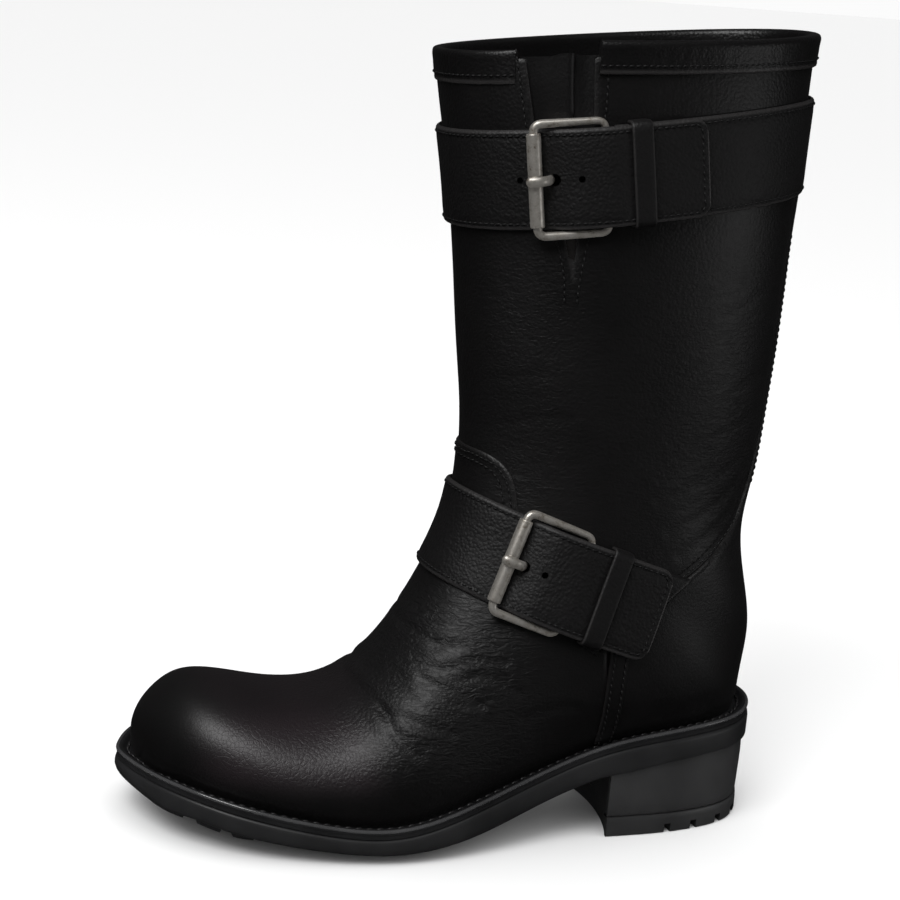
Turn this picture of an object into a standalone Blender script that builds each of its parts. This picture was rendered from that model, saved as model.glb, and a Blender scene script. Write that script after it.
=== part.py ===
"""Left engineer boot, standing empty on its sole. Toe at -X, buckles on the -Y side, floor at z = 0."""
import math

import bmesh
import bpy
import numpy as np
from mathutils import Matrix, Vector

# Sizes in millimetres. d is the distance from the back of the heel towards the toe.
HEEL_X = 35.5
FLARE = 21.8
FLARE_START = 94.4
FLARE_RUN = 169.9
LEAN = 23.4
LEAN_START = 60.0
COLLAR_Z = 317.5
FEATHER_INSET = 7.0
WALL = 2.2
GAP = 0.35
VAMP_STEP = 1.0
COUNTER_THICK = 1.2
WELT_THICK = 3.8
WELT_DIP = 1.0
WELT_INNER = 9.0
LUG_DEPTH = 4.3
LIFT_TOP = 8.0
HEEL_BREAST = 72.8
STRAP_WIDTH = 38.0
STRAP_THICK = 2.0
BUCKLE_WIRE = 1.7
BUCKLE_HALF = 21.6
BUCKLE_RUN = 28.0
ROLLER_RADIUS = 2.8
PRONG_RADIUS = 1.8
ROLLER_LENGTH = 36.4
HOLE_RADIUS = 2.8
KEEPER_WIDTH = 8.0
COLLAR_FRONT = (148.3, 309.5)
COLLAR_BACK = (-8.2, 325.5)

# Outline of the sole seen from above: d, half width on the buckle side, half width on the inner side.
SOLE_OUTLINE = [
    (0, 0, 0),
    (3, 12.8, 13.4),
    (8, 20.8, 21.8),
    (16, 27.6, 28.6),
    (28, 32.4, 33.2),
    (45, 35.4, 34.0),
    (60, 36.1, 32.2),
    (80, 36.0, 29.8),
    (100, 38.2, 28.9),
    (120, 43.6, 30.4),
    (140, 49.4, 34.7),
    (160, 53.0, 41.1),
    (180, 53.6, 47.6),
    (200, 51.8, 51.0),
    (215, 49.0, 50.2),
    (230, 44.3, 46.4),
    (242, 37.4, 40.4),
    (252, 27.6, 31.6),
    (259, 16.2, 20.6),
    (263, 6.6, 10.6),
    (264.8, -2.2, 2.2),
]
# Side line of the sole: d, height of the welt's top, height of the outsole's lower edge.
SOLE_SIDE = [
    (0, 48.6, 34.5),
    (38, 46.2, 32.8),
    (71, 41.7, 27.3),
    (99, 33.6, 19.0),
    (132, 23.3, 8.5),
    (165, 15.3, 3.7),
    (193, 16.6, 5.1),
    (226, 22.0, 9.4),
    (250, 25.6, 14.5),
    (265, 26.0, 18.4),
]
# Sections of the upper. Each lies in a plane across the boot, through a ridge point and a base point:
# ridge d, ridge z, base d, base z, half width outside, half width inside, place of the widest point from
# the base, roundness above it, roundness below it.
UPPER_SECTIONS = [
    ("toe point", 258.4, 38.0, 258.4, 37.0, 0.5, 0.5, 0.50, 2.0, 2.0),
    ("toe cap front", 253.8, 46.3, 257.0, 24.0, 13.0, 13.0, 0.48, 2.0, 2.2),
    ("toe cap", 248.0, 52.0, 252.0, 16.0, 23.5, 23.5, 0.45, 2.05, 2.4),
    ("toe shoulder", 240.0, 56.4, 241.5, 13.0, 32.5, 33.0, 0.42, 2.1, 2.6),
    ("toe box", 226.0, 56.6, 226.0, 10.0, 40.5, 42.0, 0.42, 2.1, 3.0),
    ("joint front", 206.0, 53.2, 206.0, 6.0, 46.5, 47.0, 0.42, 2.1, 3.0),
    ("ball", 184.0, 55.0, 183.0, 4.0, 48.8, 44.5, 0.42, 2.1, 3.0),
    ("waist front", 167.5, 67.0, 158.0, 4.0, 48.6, 38.5, 0.42, 2.1, 3.0),
    ("waist", 155.5, 84.0, 130.0, 10.0, 44.0, 34.5, 0.42, 2.1, 3.0),
    ("instep", 146.0, 102.0, 100.0, 20.0, 39.5, 33.5, 0.43, 2.1, 3.0),
    ("instep top", 138.5, 119.5, 66.0, 30.0, 37.5, 34.0, 0.44, 2.1, 2.6),
    ("ankle front", 133.8, 137.0, 34.0, 35.0, 37.0, 35.0, 0.46, 2.1, 2.4),
    ("heel seat", 132.5, 154.5, 12.0, 42.0, 36.2, 35.0, 0.48, 2.1, 2.3),
    ("heel low", 132.8, 170.0, 8.0, 58.0, 35.5, 34.6, 0.49, 2.1, 2.2),
    ("heel round", 133.8, 183.0, 5.6, 78.0, 35.3, 34.6, 0.50, 2.15, 2.2),
    ("heel top", 135.0, 196.0, 8.5, 98.0, 35.6, 35.0, 0.50, 2.2, 2.2),
    ("ankle back", 136.3, 210.0, 11.8, 120.0, 36.4, 36.0, 0.50, 2.2, 2.2),
    ("ankle", 137.6, 226.0, 8.3, 143.0, 37.6, 37.4, 0.50, 2.2, 2.2),
    ("shaft low", 139.3, 243.0, 4.0, 172.0, 39.2, 39.2, 0.50, 2.2, 2.2),
    ("shaft middle", 141.6, 262.0, 0.0, 210.0, 41.2, 41.2, 0.50, 2.2, 2.2),
    ("shaft high", 144.8, 284.0, -3.7, 255.0, 43.4, 43.4, 0.50, 2.2, 2.2),
    ("shaft top", 147.3, 300.0, -6.2, 295.0, 45.0, 45.0, 0.50, 2.2, 2.2),
    ("collar", COLLAR_FRONT[0], COLLAR_FRONT[1], COLLAR_BACK[0], COLLAR_BACK[1], 45.5, 45.5, 0.50, 2.2, 2.2),
    ("above collar", 148.8, 315.5, -8.8, 332.0, 45.8, 45.8, 0.50, 2.2, 2.2),
]
# How much the rim of the rear panel rises above the collar plane, outer side: d, rise.
RIM_RISE = [(0, 0.0), (35, 0.6), (70, 2.0), (100, 3.4), (104, 3.6), (112, 0.6), (126, 0.4), (140, 0.0)]
# Edge of the vamp seen from the side: d, z.
VAMP_EDGE = [
    (175, 155),
    (134, 155.8),
    (128, 155.2),
    (123.5, 153.0),
    (120, 149.3),
    (118, 144.5),
    (116.9, 137),
    (113, 120),
    (104, 102),
    (92, 90),
    (81, 82),
    (79.6, 62),
    (79.9, 10),
    (290, 10),
    (290, 155),
]
# Edge of the heel counter and its back stay seen from the side: d, z.
COUNTER_EDGE = [
    (78.4, 10),
    (78.2, 62),
    (78.6, 79),
    (64, 93.5),
    (47.2, 108.0),
    (37.5, 114.5),
    (29.8, 120.6),
    (21.6, 127.9),
    (15.8, 137),
    (12.2, 148),
    (8.4, 162),
    (4.6, 190),
    (0.9, 222),
    (-1.2, 245),
    (-40, 245),
    (-40, 10),
]
# Side notch of the shaft: d, z.
NOTCH_EDGE = [
    (127.5, 335),
    (126.2, 311.8),
    (123.6, 298),
    (120.8, 284),
    (114.5, 262),
    (107.2, 243),
    (103.2, 228),
    (102.6, 243),
    (100.8, 262),
    (99.8, 284),
    (101.0, 300),
    (103.0, 335),
]


# Plain numbers
def spline(t, y, s, periodic=False):
    """Cubic spline through the rows of y at t, read at s."""
    t = np.asarray(t, float)
    y = np.asarray(y, float)
    s = np.asarray(s, float)
    n = len(t)
    h = np.diff(t)
    tail = (1,) * (y.ndim - 1)
    slope = np.diff(y, axis=0) / h.reshape((-1,) + tail)
    system = np.zeros((n, n))
    right = np.zeros(y.shape)
    for i in range(1, n - 1):
        system[i, i - 1 : i + 2] = h[i - 1], 2 * (h[i - 1] + h[i]), h[i]
        right[i] = 6 * (slope[i] - slope[i - 1])
    if periodic:
        system[0, 0] = 1
        system[0, -1] = -1
        system[-1, 0] += 2 * h[0]
        system[-1, 1] += h[0]
        system[-1, -2] += h[-1]
        system[-1, -1] += 2 * h[-1]
        right[-1] = 6 * (slope[0] - slope[-1])
    else:
        system[0, 0] = 1
        system[-1, -1] = 1
    bend = np.linalg.solve(system, right.reshape(n, -1)).reshape(y.shape)
    i = np.clip(np.searchsorted(t, s, side="right") - 1, 0, n - 2)
    step = h[i].reshape((-1,) + tail)
    a = (t[i + 1] - s).reshape(step.shape) / step
    b = 1 - a
    return a * y[i] + b * y[i + 1] + ((a**3 - a) * bend[i] + (b**3 - b) * bend[i + 1]) * step**2 / 6


def run_of(points):
    return np.r_[0, np.cumsum(np.linalg.norm(np.diff(points, axis=0), axis=1))]


def flare(d):
    return FLARE * np.clip((np.asarray(d) - FLARE_START) / FLARE_RUN, 0, None) ** 1.5


def lean(z):
    t = np.clip((np.asarray(z) - LEAN_START) / (COLLAR_Z - LEAN_START), 0, 1.2)
    return LEAN * (0.75 * t + 0.25 * t * t * (3 - 2 * t))


def side_line(d, column):
    rows = np.array(SOLE_SIDE, float)
    return spline(rows[:, 0], rows[:, column], np.clip(np.atleast_1d(np.asarray(d, float)), 0, 265))


def welt_top(d):
    return side_line(d, 1)


def sole_low(d):
    return side_line(d, 2)


def outline(count):
    """The sole's edge as rows of d and y, before the flare."""
    rows = SOLE_OUTLINE
    tip = rows[-1]
    points = [(d, -a) for d, a, b in rows[:-1]]
    points += [(tip[0], (tip[2] - tip[1]) / 2)]
    points += [(d, b) for d, a, b in reversed(rows[1:-1])]
    points = np.array(points + points[:1], float)
    t = run_of(points)
    return spline(t, points, np.linspace(0, t[-1], count, endpoint=False), True)


def inset(points, by):
    along = np.roll(points, -1, 0) - np.roll(points, 1, 0)
    along /= np.linalg.norm(along, axis=1)[:, None]
    return points + np.c_[-along[:, 1], along[:, 0]] * by


def at_height(points, z):
    """Outline rows and heights as points in space."""
    z = np.broadcast_to(z, (len(points),))
    return np.c_[HEEL_X - points[:, 0], points[:, 1] + flare(points[:, 0]), z]


# The upper's skin
FEATHER = inset(outline(400), FEATHER_INSET)


def feather_halves(d):
    """Half widths of the feather line on both sides at d."""
    back = FEATHER[:, 0].argmin()
    rolled = np.roll(FEATHER, -back, 0)
    front = rolled[:, 0].argmax()
    outer = rolled[: front + 1]
    inner = rolled[front:]
    a = np.argsort(outer[:, 0])
    b = np.argsort(inner[:, 0])
    left = -np.interp(d, outer[a, 0], outer[a, 1])
    right = np.interp(d, inner[b, 0], inner[b, 1])
    return left, right


def roundness_for(ratio, height):
    """The roundness whose lower curve has this width at this height."""
    low = 1.6
    high = 6.0
    for _ in range(40):
        middle = (low + high) / 2
        if 1 - (1 - height) ** middle < ratio**middle:
            low = middle
        else:
            high = middle
    return (low + high) / 2


def half_section(width, widest, upper_round, lower_round, length, count):
    a = np.linspace(0, math.pi / 2, 60)
    sin = np.sin(a)
    cos = np.cos(a)
    cos[-1] = 0
    high = widest + (1 - widest) * cos ** (2 / upper_round)
    low = widest - widest * sin ** (2 / lower_round)
    h = np.r_[high, low[1:]]
    w = np.r_[width * sin ** (2 / upper_round), (width * cos ** (2 / lower_round))[1:]]
    q = run_of(np.c_[h * length, w])
    p = np.linspace(0, q[-1], count)
    return np.interp(p, q, h), np.interp(p, q, w)


def section_places():
    rows = np.array([row[1:] for row in UPPER_SECTIONS], float)
    run = (run_of(rows[:, 0:2]) + run_of(rows[:, 2:4])) / 2
    return run / run[-1], rows


def skin_rows(us, around):
    """Outer surface: one closed section for each u, ridge in the middle, base at both ends."""
    places, rows = section_places()
    values = spline(places, rows, us)
    surface = np.zeros((len(us), around, 3))
    steps = np.linspace(0, 1, 200)
    for i, (rd, rz, bd, bz, outer, inner, widest, upper_round, lower_round) in enumerate(values):
        outer = max(outer, 0.2)
        inner = max(inner, 0.2)
        ds = bd + (rd - bd) * steps
        above = bz + (rz - bz) * steps - welt_top(ds)
        rounds = [lower_round, lower_round]
        if above[0] < 0 and bd < 257:
            k = int(np.argmax(above > 0))
            height = min(steps[k] / widest, 0.98)
            share = min(max((bd - 6) / 16, 0), 1)
            for side, (half, wide) in enumerate(zip(feather_halves(ds[k]), (outer, inner))):
                found = roundness_for(min(max(half, 1) / wide, 0.995), height)
                rounds[side] = lower_round + (found - lower_round) * share
        length = math.hypot(rd - bd, rz - bz)
        count = around // 2 + 1
        h0, w0 = half_section(outer, widest, upper_round, rounds[0], length, count)
        h1, w1 = half_section(inner, widest, upper_round, rounds[1], length, count)
        h = np.r_[h0[::-1], h1[1:]]
        w = np.r_[-w0[::-1], w1[1:]]
        d = bd + (rd - bd) * h
        z = bz + (rz - bz) * h
        surface[i] = np.c_[HEEL_X - d, w + flare(d) + lean(z), z]
    return surface


def normals_of(surface):
    along = np.gradient(surface, axis=0)
    closed = np.concatenate([surface[:, -2:-1], surface, surface[:, 1:2]], axis=1)
    across = (closed[:, 2:] - closed[:, :-2]) / 2
    n = np.cross(along, across)
    n /= np.linalg.norm(n, axis=2)[..., None] + 1e-12
    middle = surface.mean(axis=1, keepdims=True)
    if ((surface - middle) * n).sum() < 0:
        n = -n
    n[0] = (-1, 0, 0)
    return n


FINE_U = 321
FINE_F = 257
FINE = skin_rows(np.linspace(0, 1, FINE_U), FINE_F)
FINE_N = normals_of(FINE)


def skin(u, f, off=0.0):
    """Point and normal of the skin at u (toe 0, top 1) and f (-1 base, 0 ridge, 1 base; buckle side first)."""
    u = np.clip(np.asarray(u, float), 0, 1) * (FINE_U - 1)
    f = (np.clip(np.asarray(f, float), -1, 1) + 1) / 2 * (FINE_F - 1)
    i = np.clip(u.astype(int), 0, FINE_U - 2)
    j = np.clip(f.astype(int), 0, FINE_F - 2)
    a = (u - i)[..., None]
    b = (f - j)[..., None]

    def mix(g):
        low = g[i, j] * (1 - b) + g[i, j + 1] * b
        high = g[i + 1, j] * (1 - b) + g[i + 1, j + 1] * b
        return low * (1 - a) + high * a

    n = mix(FINE_N)
    n /= np.linalg.norm(n, axis=-1)[..., None]
    return mix(FINE) + n * np.asarray(off, float)[..., None], n


def snap(points):
    """Nearest u and f of the skin for each point."""
    points = np.asarray(points, float)
    flat = points.reshape(-1, 3)
    coarse = FINE[::4, ::4]
    rows, columns = coarse.shape[:2]
    us = np.empty(len(flat))
    fs = np.empty(len(flat))
    for k, p in enumerate(flat):
        near = int(((coarse - p) ** 2).sum(2).argmin())
        us[k] = (near // columns) * 4 / (FINE_U - 1)
        fs[k] = (near % columns) * 4 / (FINE_F - 1) * 2 - 1
    for _ in range(12):
        e = 2e-3
        u0 = np.clip(us, e, 1 - e)
        f0 = np.clip(fs, e - 1, 1 - e)
        here, _n = skin(u0, f0)
        su = (skin(u0 + e, f0)[0] - skin(u0 - e, f0)[0]) / (2 * e)
        sf = (skin(u0, f0 + e)[0] - skin(u0, f0 - e)[0]) / (2 * e)
        r = flat - here
        a = (su * su).sum(1)
        b = (su * sf).sum(1)
        c = (sf * sf).sum(1)
        p = (r * su).sum(1)
        q = (r * sf).sum(1)
        det = a * c - b * b + 1e-9
        us = np.clip(u0 + np.clip((c * p - b * q) / det, -0.03, 0.03), 0, 1)
        fs = np.clip(f0 + np.clip((a * q - b * p) / det, -0.05, 0.05), -1, 1)
    return us.reshape(points.shape[:-1]), fs.reshape(points.shape[:-1])


def u_at(fs, measure, level, lowest=0.3):
    """u of the place on each line f where measure(d, z) reaches level."""
    us = np.linspace(lowest, 1, 400)
    found = []
    for f in np.atleast_1d(fs):
        line, _n = skin(us, np.full(400, f))
        found.append(np.interp(level, measure(HEEL_X - line[:, 0], line[:, 2]), us))
    return np.array(found)


# Making objects
def material(name, colour, rough, metal=0.0):
    made = bpy.data.materials.new(name)
    made.use_nodes = True
    shader = made.node_tree.nodes["Principled BSDF"]
    shader.inputs["Base Color"].default_value = (*colour, 1)
    shader.inputs["Roughness"].default_value = rough
    shader.inputs["Metallic"].default_value = metal
    return made


def new_object(name, mesh, where, colour=None, rough=0.5, metal=0.0):
    made = bpy.data.objects.new(name, mesh)
    where.objects.link(made)
    if colour:
        mesh.materials.clear()
        mesh.materials.append(material(name + "_finish", colour, rough, metal))
    return made


def tidied(mesh):
    """The mesh with its doubles merged and its normals out."""
    tidy = bmesh.new()
    tidy.from_mesh(mesh)
    bmesh.ops.remove_doubles(tidy, verts=tidy.verts, dist=1e-6)
    bmesh.ops.recalc_face_normals(tidy, faces=tidy.faces)
    tidy.to_mesh(mesh)
    tidy.free()
    return mesh


def mesh_of(name, points, faces):
    """Points in millimetres and faces as a mesh in metres."""
    mesh = bpy.data.meshes.new(name)
    mesh.from_pydata([tuple(p) for p in np.asarray(points, float) / 1000], [], faces)
    return tidied(mesh)


def loft(rings, close_ends=True, loop=False):
    """Faces between rings of equal count; each ring is closed. With loop, the last ring meets the first."""
    rings = np.asarray(rings, float)
    count, size = rings.shape[:2]
    faces = []
    for i in range(count if loop else count - 1):
        k = (i + 1) % count
        for j in range(size):
            m = (j + 1) % size
            faces.append((i * size + j, i * size + m, k * size + m, k * size + j))
    if close_ends and not loop:
        faces.append(tuple(range(size)))
        faces.append(tuple((count - 1) * size + j for j in range(size)))
    return rings.reshape(-1, 3), faces


def shell(us, fs, low, high):
    """Closed solid between two offsets of the skin, over whole sections."""
    u, f = np.meshgrid(us, fs, indexing="ij")
    outer = skin(u, f, high)[0][:, :-1]
    inner = skin(u, f, low)[0][:, :-1]
    rows, size = outer.shape[:2]
    points = np.concatenate([outer.reshape(-1, 3), inner.reshape(-1, 3)])
    shift = rows * size
    faces = []
    for i in range(rows - 1):
        for j in range(size):
            m = (j + 1) % size
            quad = (i * size + j, i * size + m, (i + 1) * size + m, (i + 1) * size + j)
            faces.append(quad)
            faces.append(tuple(shift + k for k in reversed(quad)))
    for j in range(size):
        m = (j + 1) % size
        top = (rows - 1) * size
        faces.append((top + j, top + m, shift + top + m, shift + top + j))
        if us[0] > 0:
            faces.append((j, m, shift + m, shift + j))
    if us[0] == 0:
        faces.append(tuple(range(size)))
        faces.append(tuple(shift + j for j in range(size)))
    return points, faces


def plate(name, edge, low_y, high_y):
    """Prism of an edge given as d and z, from low_y to high_y."""
    curve = bpy.data.curves.new(name, "CURVE")
    curve.dimensions = "2D"
    curve.fill_mode = "BOTH"
    curve.extrude = (high_y - low_y) / 2000
    line = curve.splines.new("POLY")
    line.points.add(len(edge) - 1)
    for point, (d, z) in zip(line.points, edge):
        point.co = ((HEEL_X - d) / 1000, z / 1000, 0, 1)
    line.use_cyclic_u = True
    guide = bpy.data.objects.new(name + "_line", curve)
    cutters.objects.link(guide)
    guide.rotation_euler = (math.pi / 2, 0, 0)
    guide.location = (0, (low_y + high_y) / 2000, 0)
    guide.hide_render = True
    bpy.context.view_layer.update()
    mesh = bpy.data.meshes.new_from_object(guide.evaluated_get(bpy.context.evaluated_depsgraph_get()))
    mesh.transform(guide.matrix_world)
    bpy.data.objects.remove(guide)
    made = bpy.data.objects.new(name, tidied(mesh))
    cutters.objects.link(made)
    hide(made)
    return made


def hide(helper):
    helper.hide_render = True
    helper.display_type = "WIRE"


def helper(name, points, faces):
    made = new_object(name, mesh_of(name, points, faces), cutters)
    hide(made)
    return made


def boolean(target, other, operation):
    step = target.modifiers.new(operation.lower() + "_" + other.name, "BOOLEAN")
    step.operation = operation
    step.solver = "EXACT"
    step.object = other


def settle(obj):
    """Bake the modifiers of an object into its mesh."""
    bpy.context.view_layer.update()
    done = bpy.data.meshes.new_from_object(obj.evaluated_get(bpy.context.evaluated_depsgraph_get()))
    obj.modifiers.clear()
    obj.data = done


# Start
for old in list(bpy.data.objects):
    bpy.data.objects.remove(old)
boot = bpy.data.collections.new("engineer_boot")
bpy.context.scene.collection.children.link(boot)
cutters = bpy.data.collections.new("cutters")
cutters.hide_render = True
bpy.context.scene.collection.children.link(cutters)
LEATHER = (0.02, 0.018, 0.019)
RUBBER = (0.03, 0.03, 0.031)
METAL = (0.55, 0.52, 0.47)

# Levels for the upper: two steps to each section of the table
PLACES = section_places()[0]
US = np.sort(np.r_[PLACES, (PLACES[1:17] + PLACES[:16]) / 2])
FS = np.linspace(-1, 1, 33)


def above_line(drop):
    """Region above the collar plane lowered by drop, as an edge of d and z."""
    (fd, fz), (bd, bz) = COLLAR_FRONT, COLLAR_BACK
    slope = (fz - bz) / (fd - bd)
    ends = [(d, bz + slope * (d - bd) - drop) for d in (-60, 220)]
    return ends + [(220, 420), (-60, 420)]


def collar_drop(d, z):
    (fd, fz), (bd, bz) = COLLAR_FRONT, COLLAR_BACK
    slope = (fz - bz) / (fd - bd)
    return (bz + slope * (d - bd) - z) / math.hypot(1, slope)


# Upper: one wall, open at the collar and underneath, the vamp a step thicker
bed = [(d, float(welt_top(d)[0]) - WELT_DIP + GAP) for d in np.linspace(0, 265, 54)]
bed = [(-30, bed[0][1])] + bed + [(290, bed[-1][1]), (290, -40), (-30, -40)]
under_feather = plate("under_feather", bed, -120, 120)
over_collar = plate("over_collar", above_line(2.8), -120, 120)
vamp_field = plate("vamp_field", VAMP_EDGE, -120, 120)
notch = plate("notch", NOTCH_EDGE, -120, 5)
upper = new_object("upper", mesh_of("upper", *shell(US, FS, -WALL, 0.0)), boot, LEATHER, 0.45)
vamp_us = US[US < 0.62]
vamp_shell = helper("vamp_shell", *shell(vamp_us, FS, -0.9, VAMP_STEP))
boolean(vamp_shell, vamp_field, "INTERSECT")
settle(vamp_shell)
boolean(upper, vamp_shell, "UNION")
boolean(upper, under_feather, "DIFFERENCE")
boolean(upper, over_collar, "DIFFERENCE")
boolean(upper, notch, "DIFFERENCE")
settle(upper)

# Heel counter with its back stay
counter_field = plate("counter_field", COUNTER_EDGE, -120, 120)
counter_us = US[(US > 0.33) & (US < 0.93)]
counter_shell = shell(counter_us, FS, GAP + 0.15, GAP + COUNTER_THICK)
counter = new_object("heel_counter", mesh_of("heel_counter", *counter_shell), boot, LEATHER, 0.42)
boolean(counter, counter_field, "INTERSECT")
boolean(counter, under_feather, "DIFFERENCE")
settle(counter)

# Folded collar band over the top edge, open at the notch
BAND_PROFILE = [
    (GAP + 0.1, 12.2),
    (GAP + 0.1, 2.3),
    (-WALL - GAP, 2.3),
    (-WALL - GAP - 1.0, 2.3),
    (-WALL - GAP - 1.1, 1.2),
    (-1.9, 0.2),
    (0.0, 0.0),
    (1.2, 0.6),
    (1.75, 2.2),
    (1.5, 12.2),
]
def rim_rise(f):
    """Rise of the rim on this line: only the outer side's rear panel stands higher."""
    if f > -0.02:
        return 0.0
    d = HEEL_X - skin(PLACES[-2], f)[0][0]
    rows = np.array(RIM_RISE)
    return float(np.interp(d, rows[:, 0], rows[:, 1]))


band_fs = np.r_[np.linspace(-0.352, -1, 14)[:-1], np.linspace(1, -0.196, 25)]
rings = []
for f in band_fs:
    ring = []
    for off, drop in BAND_PROFILE:
        raised = drop - rim_rise(f) * (drop < 2.25 or drop > 10)
        u = u_at(f, lambda d, z: -collar_drop(d, z), -raised)[0]
        ring.append(skin(u, f, off)[0])
    rings.append(ring)
band = new_object("collar_band", mesh_of("collar_band", *loft(rings)), boot, LEATHER, 0.38)

# Gusset behind the notch, with one soft fold
gusset_rows = []
for drop in (3.6, 10, 18, 28, 44, 64, 86):
    row = []
    share = (drop - 3.6) / 82.4
    front = np.array([-0.190, -0.268])
    back = np.array([-0.372, -0.350])
    first = front[0] + (front[1] - front[0]) * share
    last = back[0] + (back[1] - back[0]) * share
    fold = -0.283 - 0.03 * share
    rise = 1.7 * max(0.0, 1 - share * 2.6)
    for f in np.linspace(first, last, 13):
        u = u_at(f, lambda d, z: -collar_drop(d, z), -drop)[0]
        lift = rise * math.exp(-(((f - fold) / 0.016) ** 2))
        row.append((u, f, -WALL - GAP + lift))
    gusset_rows.append(row)
gusset_rows = np.array(gusset_rows)
front_face = skin(gusset_rows[..., 0], gusset_rows[..., 1], gusset_rows[..., 2])[0]
back_face = skin(gusset_rows[..., 0], gusset_rows[..., 1], gusset_rows[..., 2] - 1.2)[0]
rings = [np.r_[a, b[::-1]] for a, b in zip(front_face, back_face)]
gusset = new_object("gusset", mesh_of("gusset", *loft(rings)), boot, LEATHER, 0.5)

# Welt: a ring round the sole with a bead along its edge
EDGE_COUNT = 56
edge = outline(EDGE_COUNT)
WELT_PROFILE = [
    (0.5, -0.9),
    (1.0, -0.15),
    (1.9, 0.1),
    (2.8, -0.3),
    (3.3, -WELT_DIP),
    (WELT_INNER, -WELT_DIP),
    (WELT_INNER, -WELT_THICK),
    (0.9, -WELT_THICK),
]
rings = []
for by, rise in WELT_PROFILE:
    moved = inset(edge, by)
    rings.append(at_height(moved, welt_top(moved[:, 0]) + rise))
welt_mesh = mesh_of("welt", *loft(np.swapaxes(rings, 0, 1), loop=True))
welt = new_object("welt", welt_mesh, boot, RUBBER, 0.45)

# Insole inside the welt and the wall
INSOLE_LAYERS = [(12.4, -WELT_THICK), (12.4, -0.4), (13.8, 0.9)]
rings = []
for by, rise in INSOLE_LAYERS:
    moved = inset(edge, by)
    rings.append(at_height(moved, welt_top(moved[:, 0]) + rise))


def strip_caps(rings):
    """Loft of rings round the sole, its ends filled by strips across it, so that they follow the arch."""
    points, faces = loft(rings, close_ends=False)
    size = len(rings[0])
    last = (len(rings) - 1) * size
    for start in (0, last):
        for j in range(size // 2):
            a = start + j
            b = start + j + 1
            c = start + (size - j - 1) % size
            e = start + (size - j) % size
            faces.append(tuple(dict.fromkeys((a, b, c, e))))
    return points, faces


insole = new_object("insole", mesh_of("insole", *strip_caps(rings)), boot, (0.16, 0.10, 0.06), 0.7)

# Outsole with its lugs
# Layers of its side: inset, share of the way up, rise
OUTSOLE_LAYERS = [(0.6, 1, 0), (0.0, 1, -0.8), (0.1, 0.5, 0), (0.8, 0, 1.6), (2.4, 0, 0)]
rings = []
for by, share, rise in OUTSOLE_LAYERS:
    moved = inset(edge, by)
    low = sole_low(moved[:, 0])
    high = welt_top(moved[:, 0]) - WELT_THICK - GAP
    rings.append(at_height(moved, low + (high - low) * share + rise))
outsole = new_object("outsole", mesh_of("outsole", *strip_caps(rings)), boot, RUBBER, 0.6)
sole_ring = inset(outline(44), 8.5)
tread_low = np.maximum(sole_low(sole_ring[:, 0]) - LUG_DEPTH, 0)
tread = helper(
    "tread",
    *strip_caps(
        [
            at_height(sole_ring, sole_low(sole_ring[:, 0]) + 1.2),
            at_height(sole_ring, tread_low + 0.6),
            at_height(inset(sole_ring, 0.6), tread_low),
        ]
    ),
)
# Grooves across the tread: places d
LUG_GROOVES = (152.5, 165, 177.5, 190, 202.5, 215, 227.5, 240)
LUG_GROOVE_WIDTH = 4.2


def box(name, d0, d1, y0, y1, z0, z1):
    return plate(name, [(d0, z0), (d1, z0), (d1, z1), (d0, z1)], y0, y1)


behind = box("behind_tread", -20, 132, -90, 120, -20, 60)
boolean(tread, behind, "DIFFERENCE")
for d in LUG_GROOVES:
    level = float(sole_low(d)[0]) - 0.2
    half = LUG_GROOVE_WIDTH / 2
    boolean(tread, box("groove_%d" % d, d - half, d + half, -90, 120, -10, level), "DIFFERENCE")
centre_line = [(d, float(flare(d))) for d in (128, 150, 175, 200, 225, 250, 270)]
points = []
for d, y in centre_line:
    points.append([(HEEL_X - d, y - 2.4, -10), (HEEL_X - d, y + 2.4, -10)])
    level = float(sole_low(min(d, 262))[0]) - 0.2
    points[-1] += [(HEEL_X - d, y + 2.4, level), (HEEL_X - d, y - 2.4, level)]
boolean(tread, helper("centre_groove", *loft(points)), "DIFFERENCE")
settle(tread)
boolean(outsole, tread, "UNION")
settle(outsole)

# Heel block and its lift, with a hollow breast
HEEL_SIDE = 27
BREAST_HOLLOW = 6.0
BREAST_RADIUS = 88.0


def heel_ring(z, by):
    """Outline of the heel, inset by a distance, at height z or just under the outsole."""
    whole = inset(outline(240), by)
    back = whole[:, 0].argmin()
    rolled = np.roll(whole, -back, 0)
    inside = rolled[:, 0] < HEEL_BREAST
    first = np.argmin(inside)
    second = len(rolled) - np.argmin(inside[::-1])
    side = np.r_[rolled[second:], rolled[:first]]
    t = run_of(side)
    ring = spline(t, side, np.linspace(0, t[-1], HEEL_SIDE))
    ring[0, 0] = HEEL_BREAST
    ring[-1, 0] = HEEL_BREAST
    return at_height(ring, z if z is not None else sole_low(ring[:, 0]) - GAP)


def side_caps(rings):
    """Loft of heel rings, its ends filled by strips from side to side."""
    points, faces = loft(rings, close_ends=False)
    last = (len(rings) - 1) * HEEL_SIDE
    for start in (0, last):
        for j in range(HEEL_SIDE // 2):
            strip = (j, j + 1, HEEL_SIDE - 2 - j, HEEL_SIDE - 1 - j)
            faces.append(tuple(start + k for k in dict.fromkeys(strip)))
    return points, faces


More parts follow.
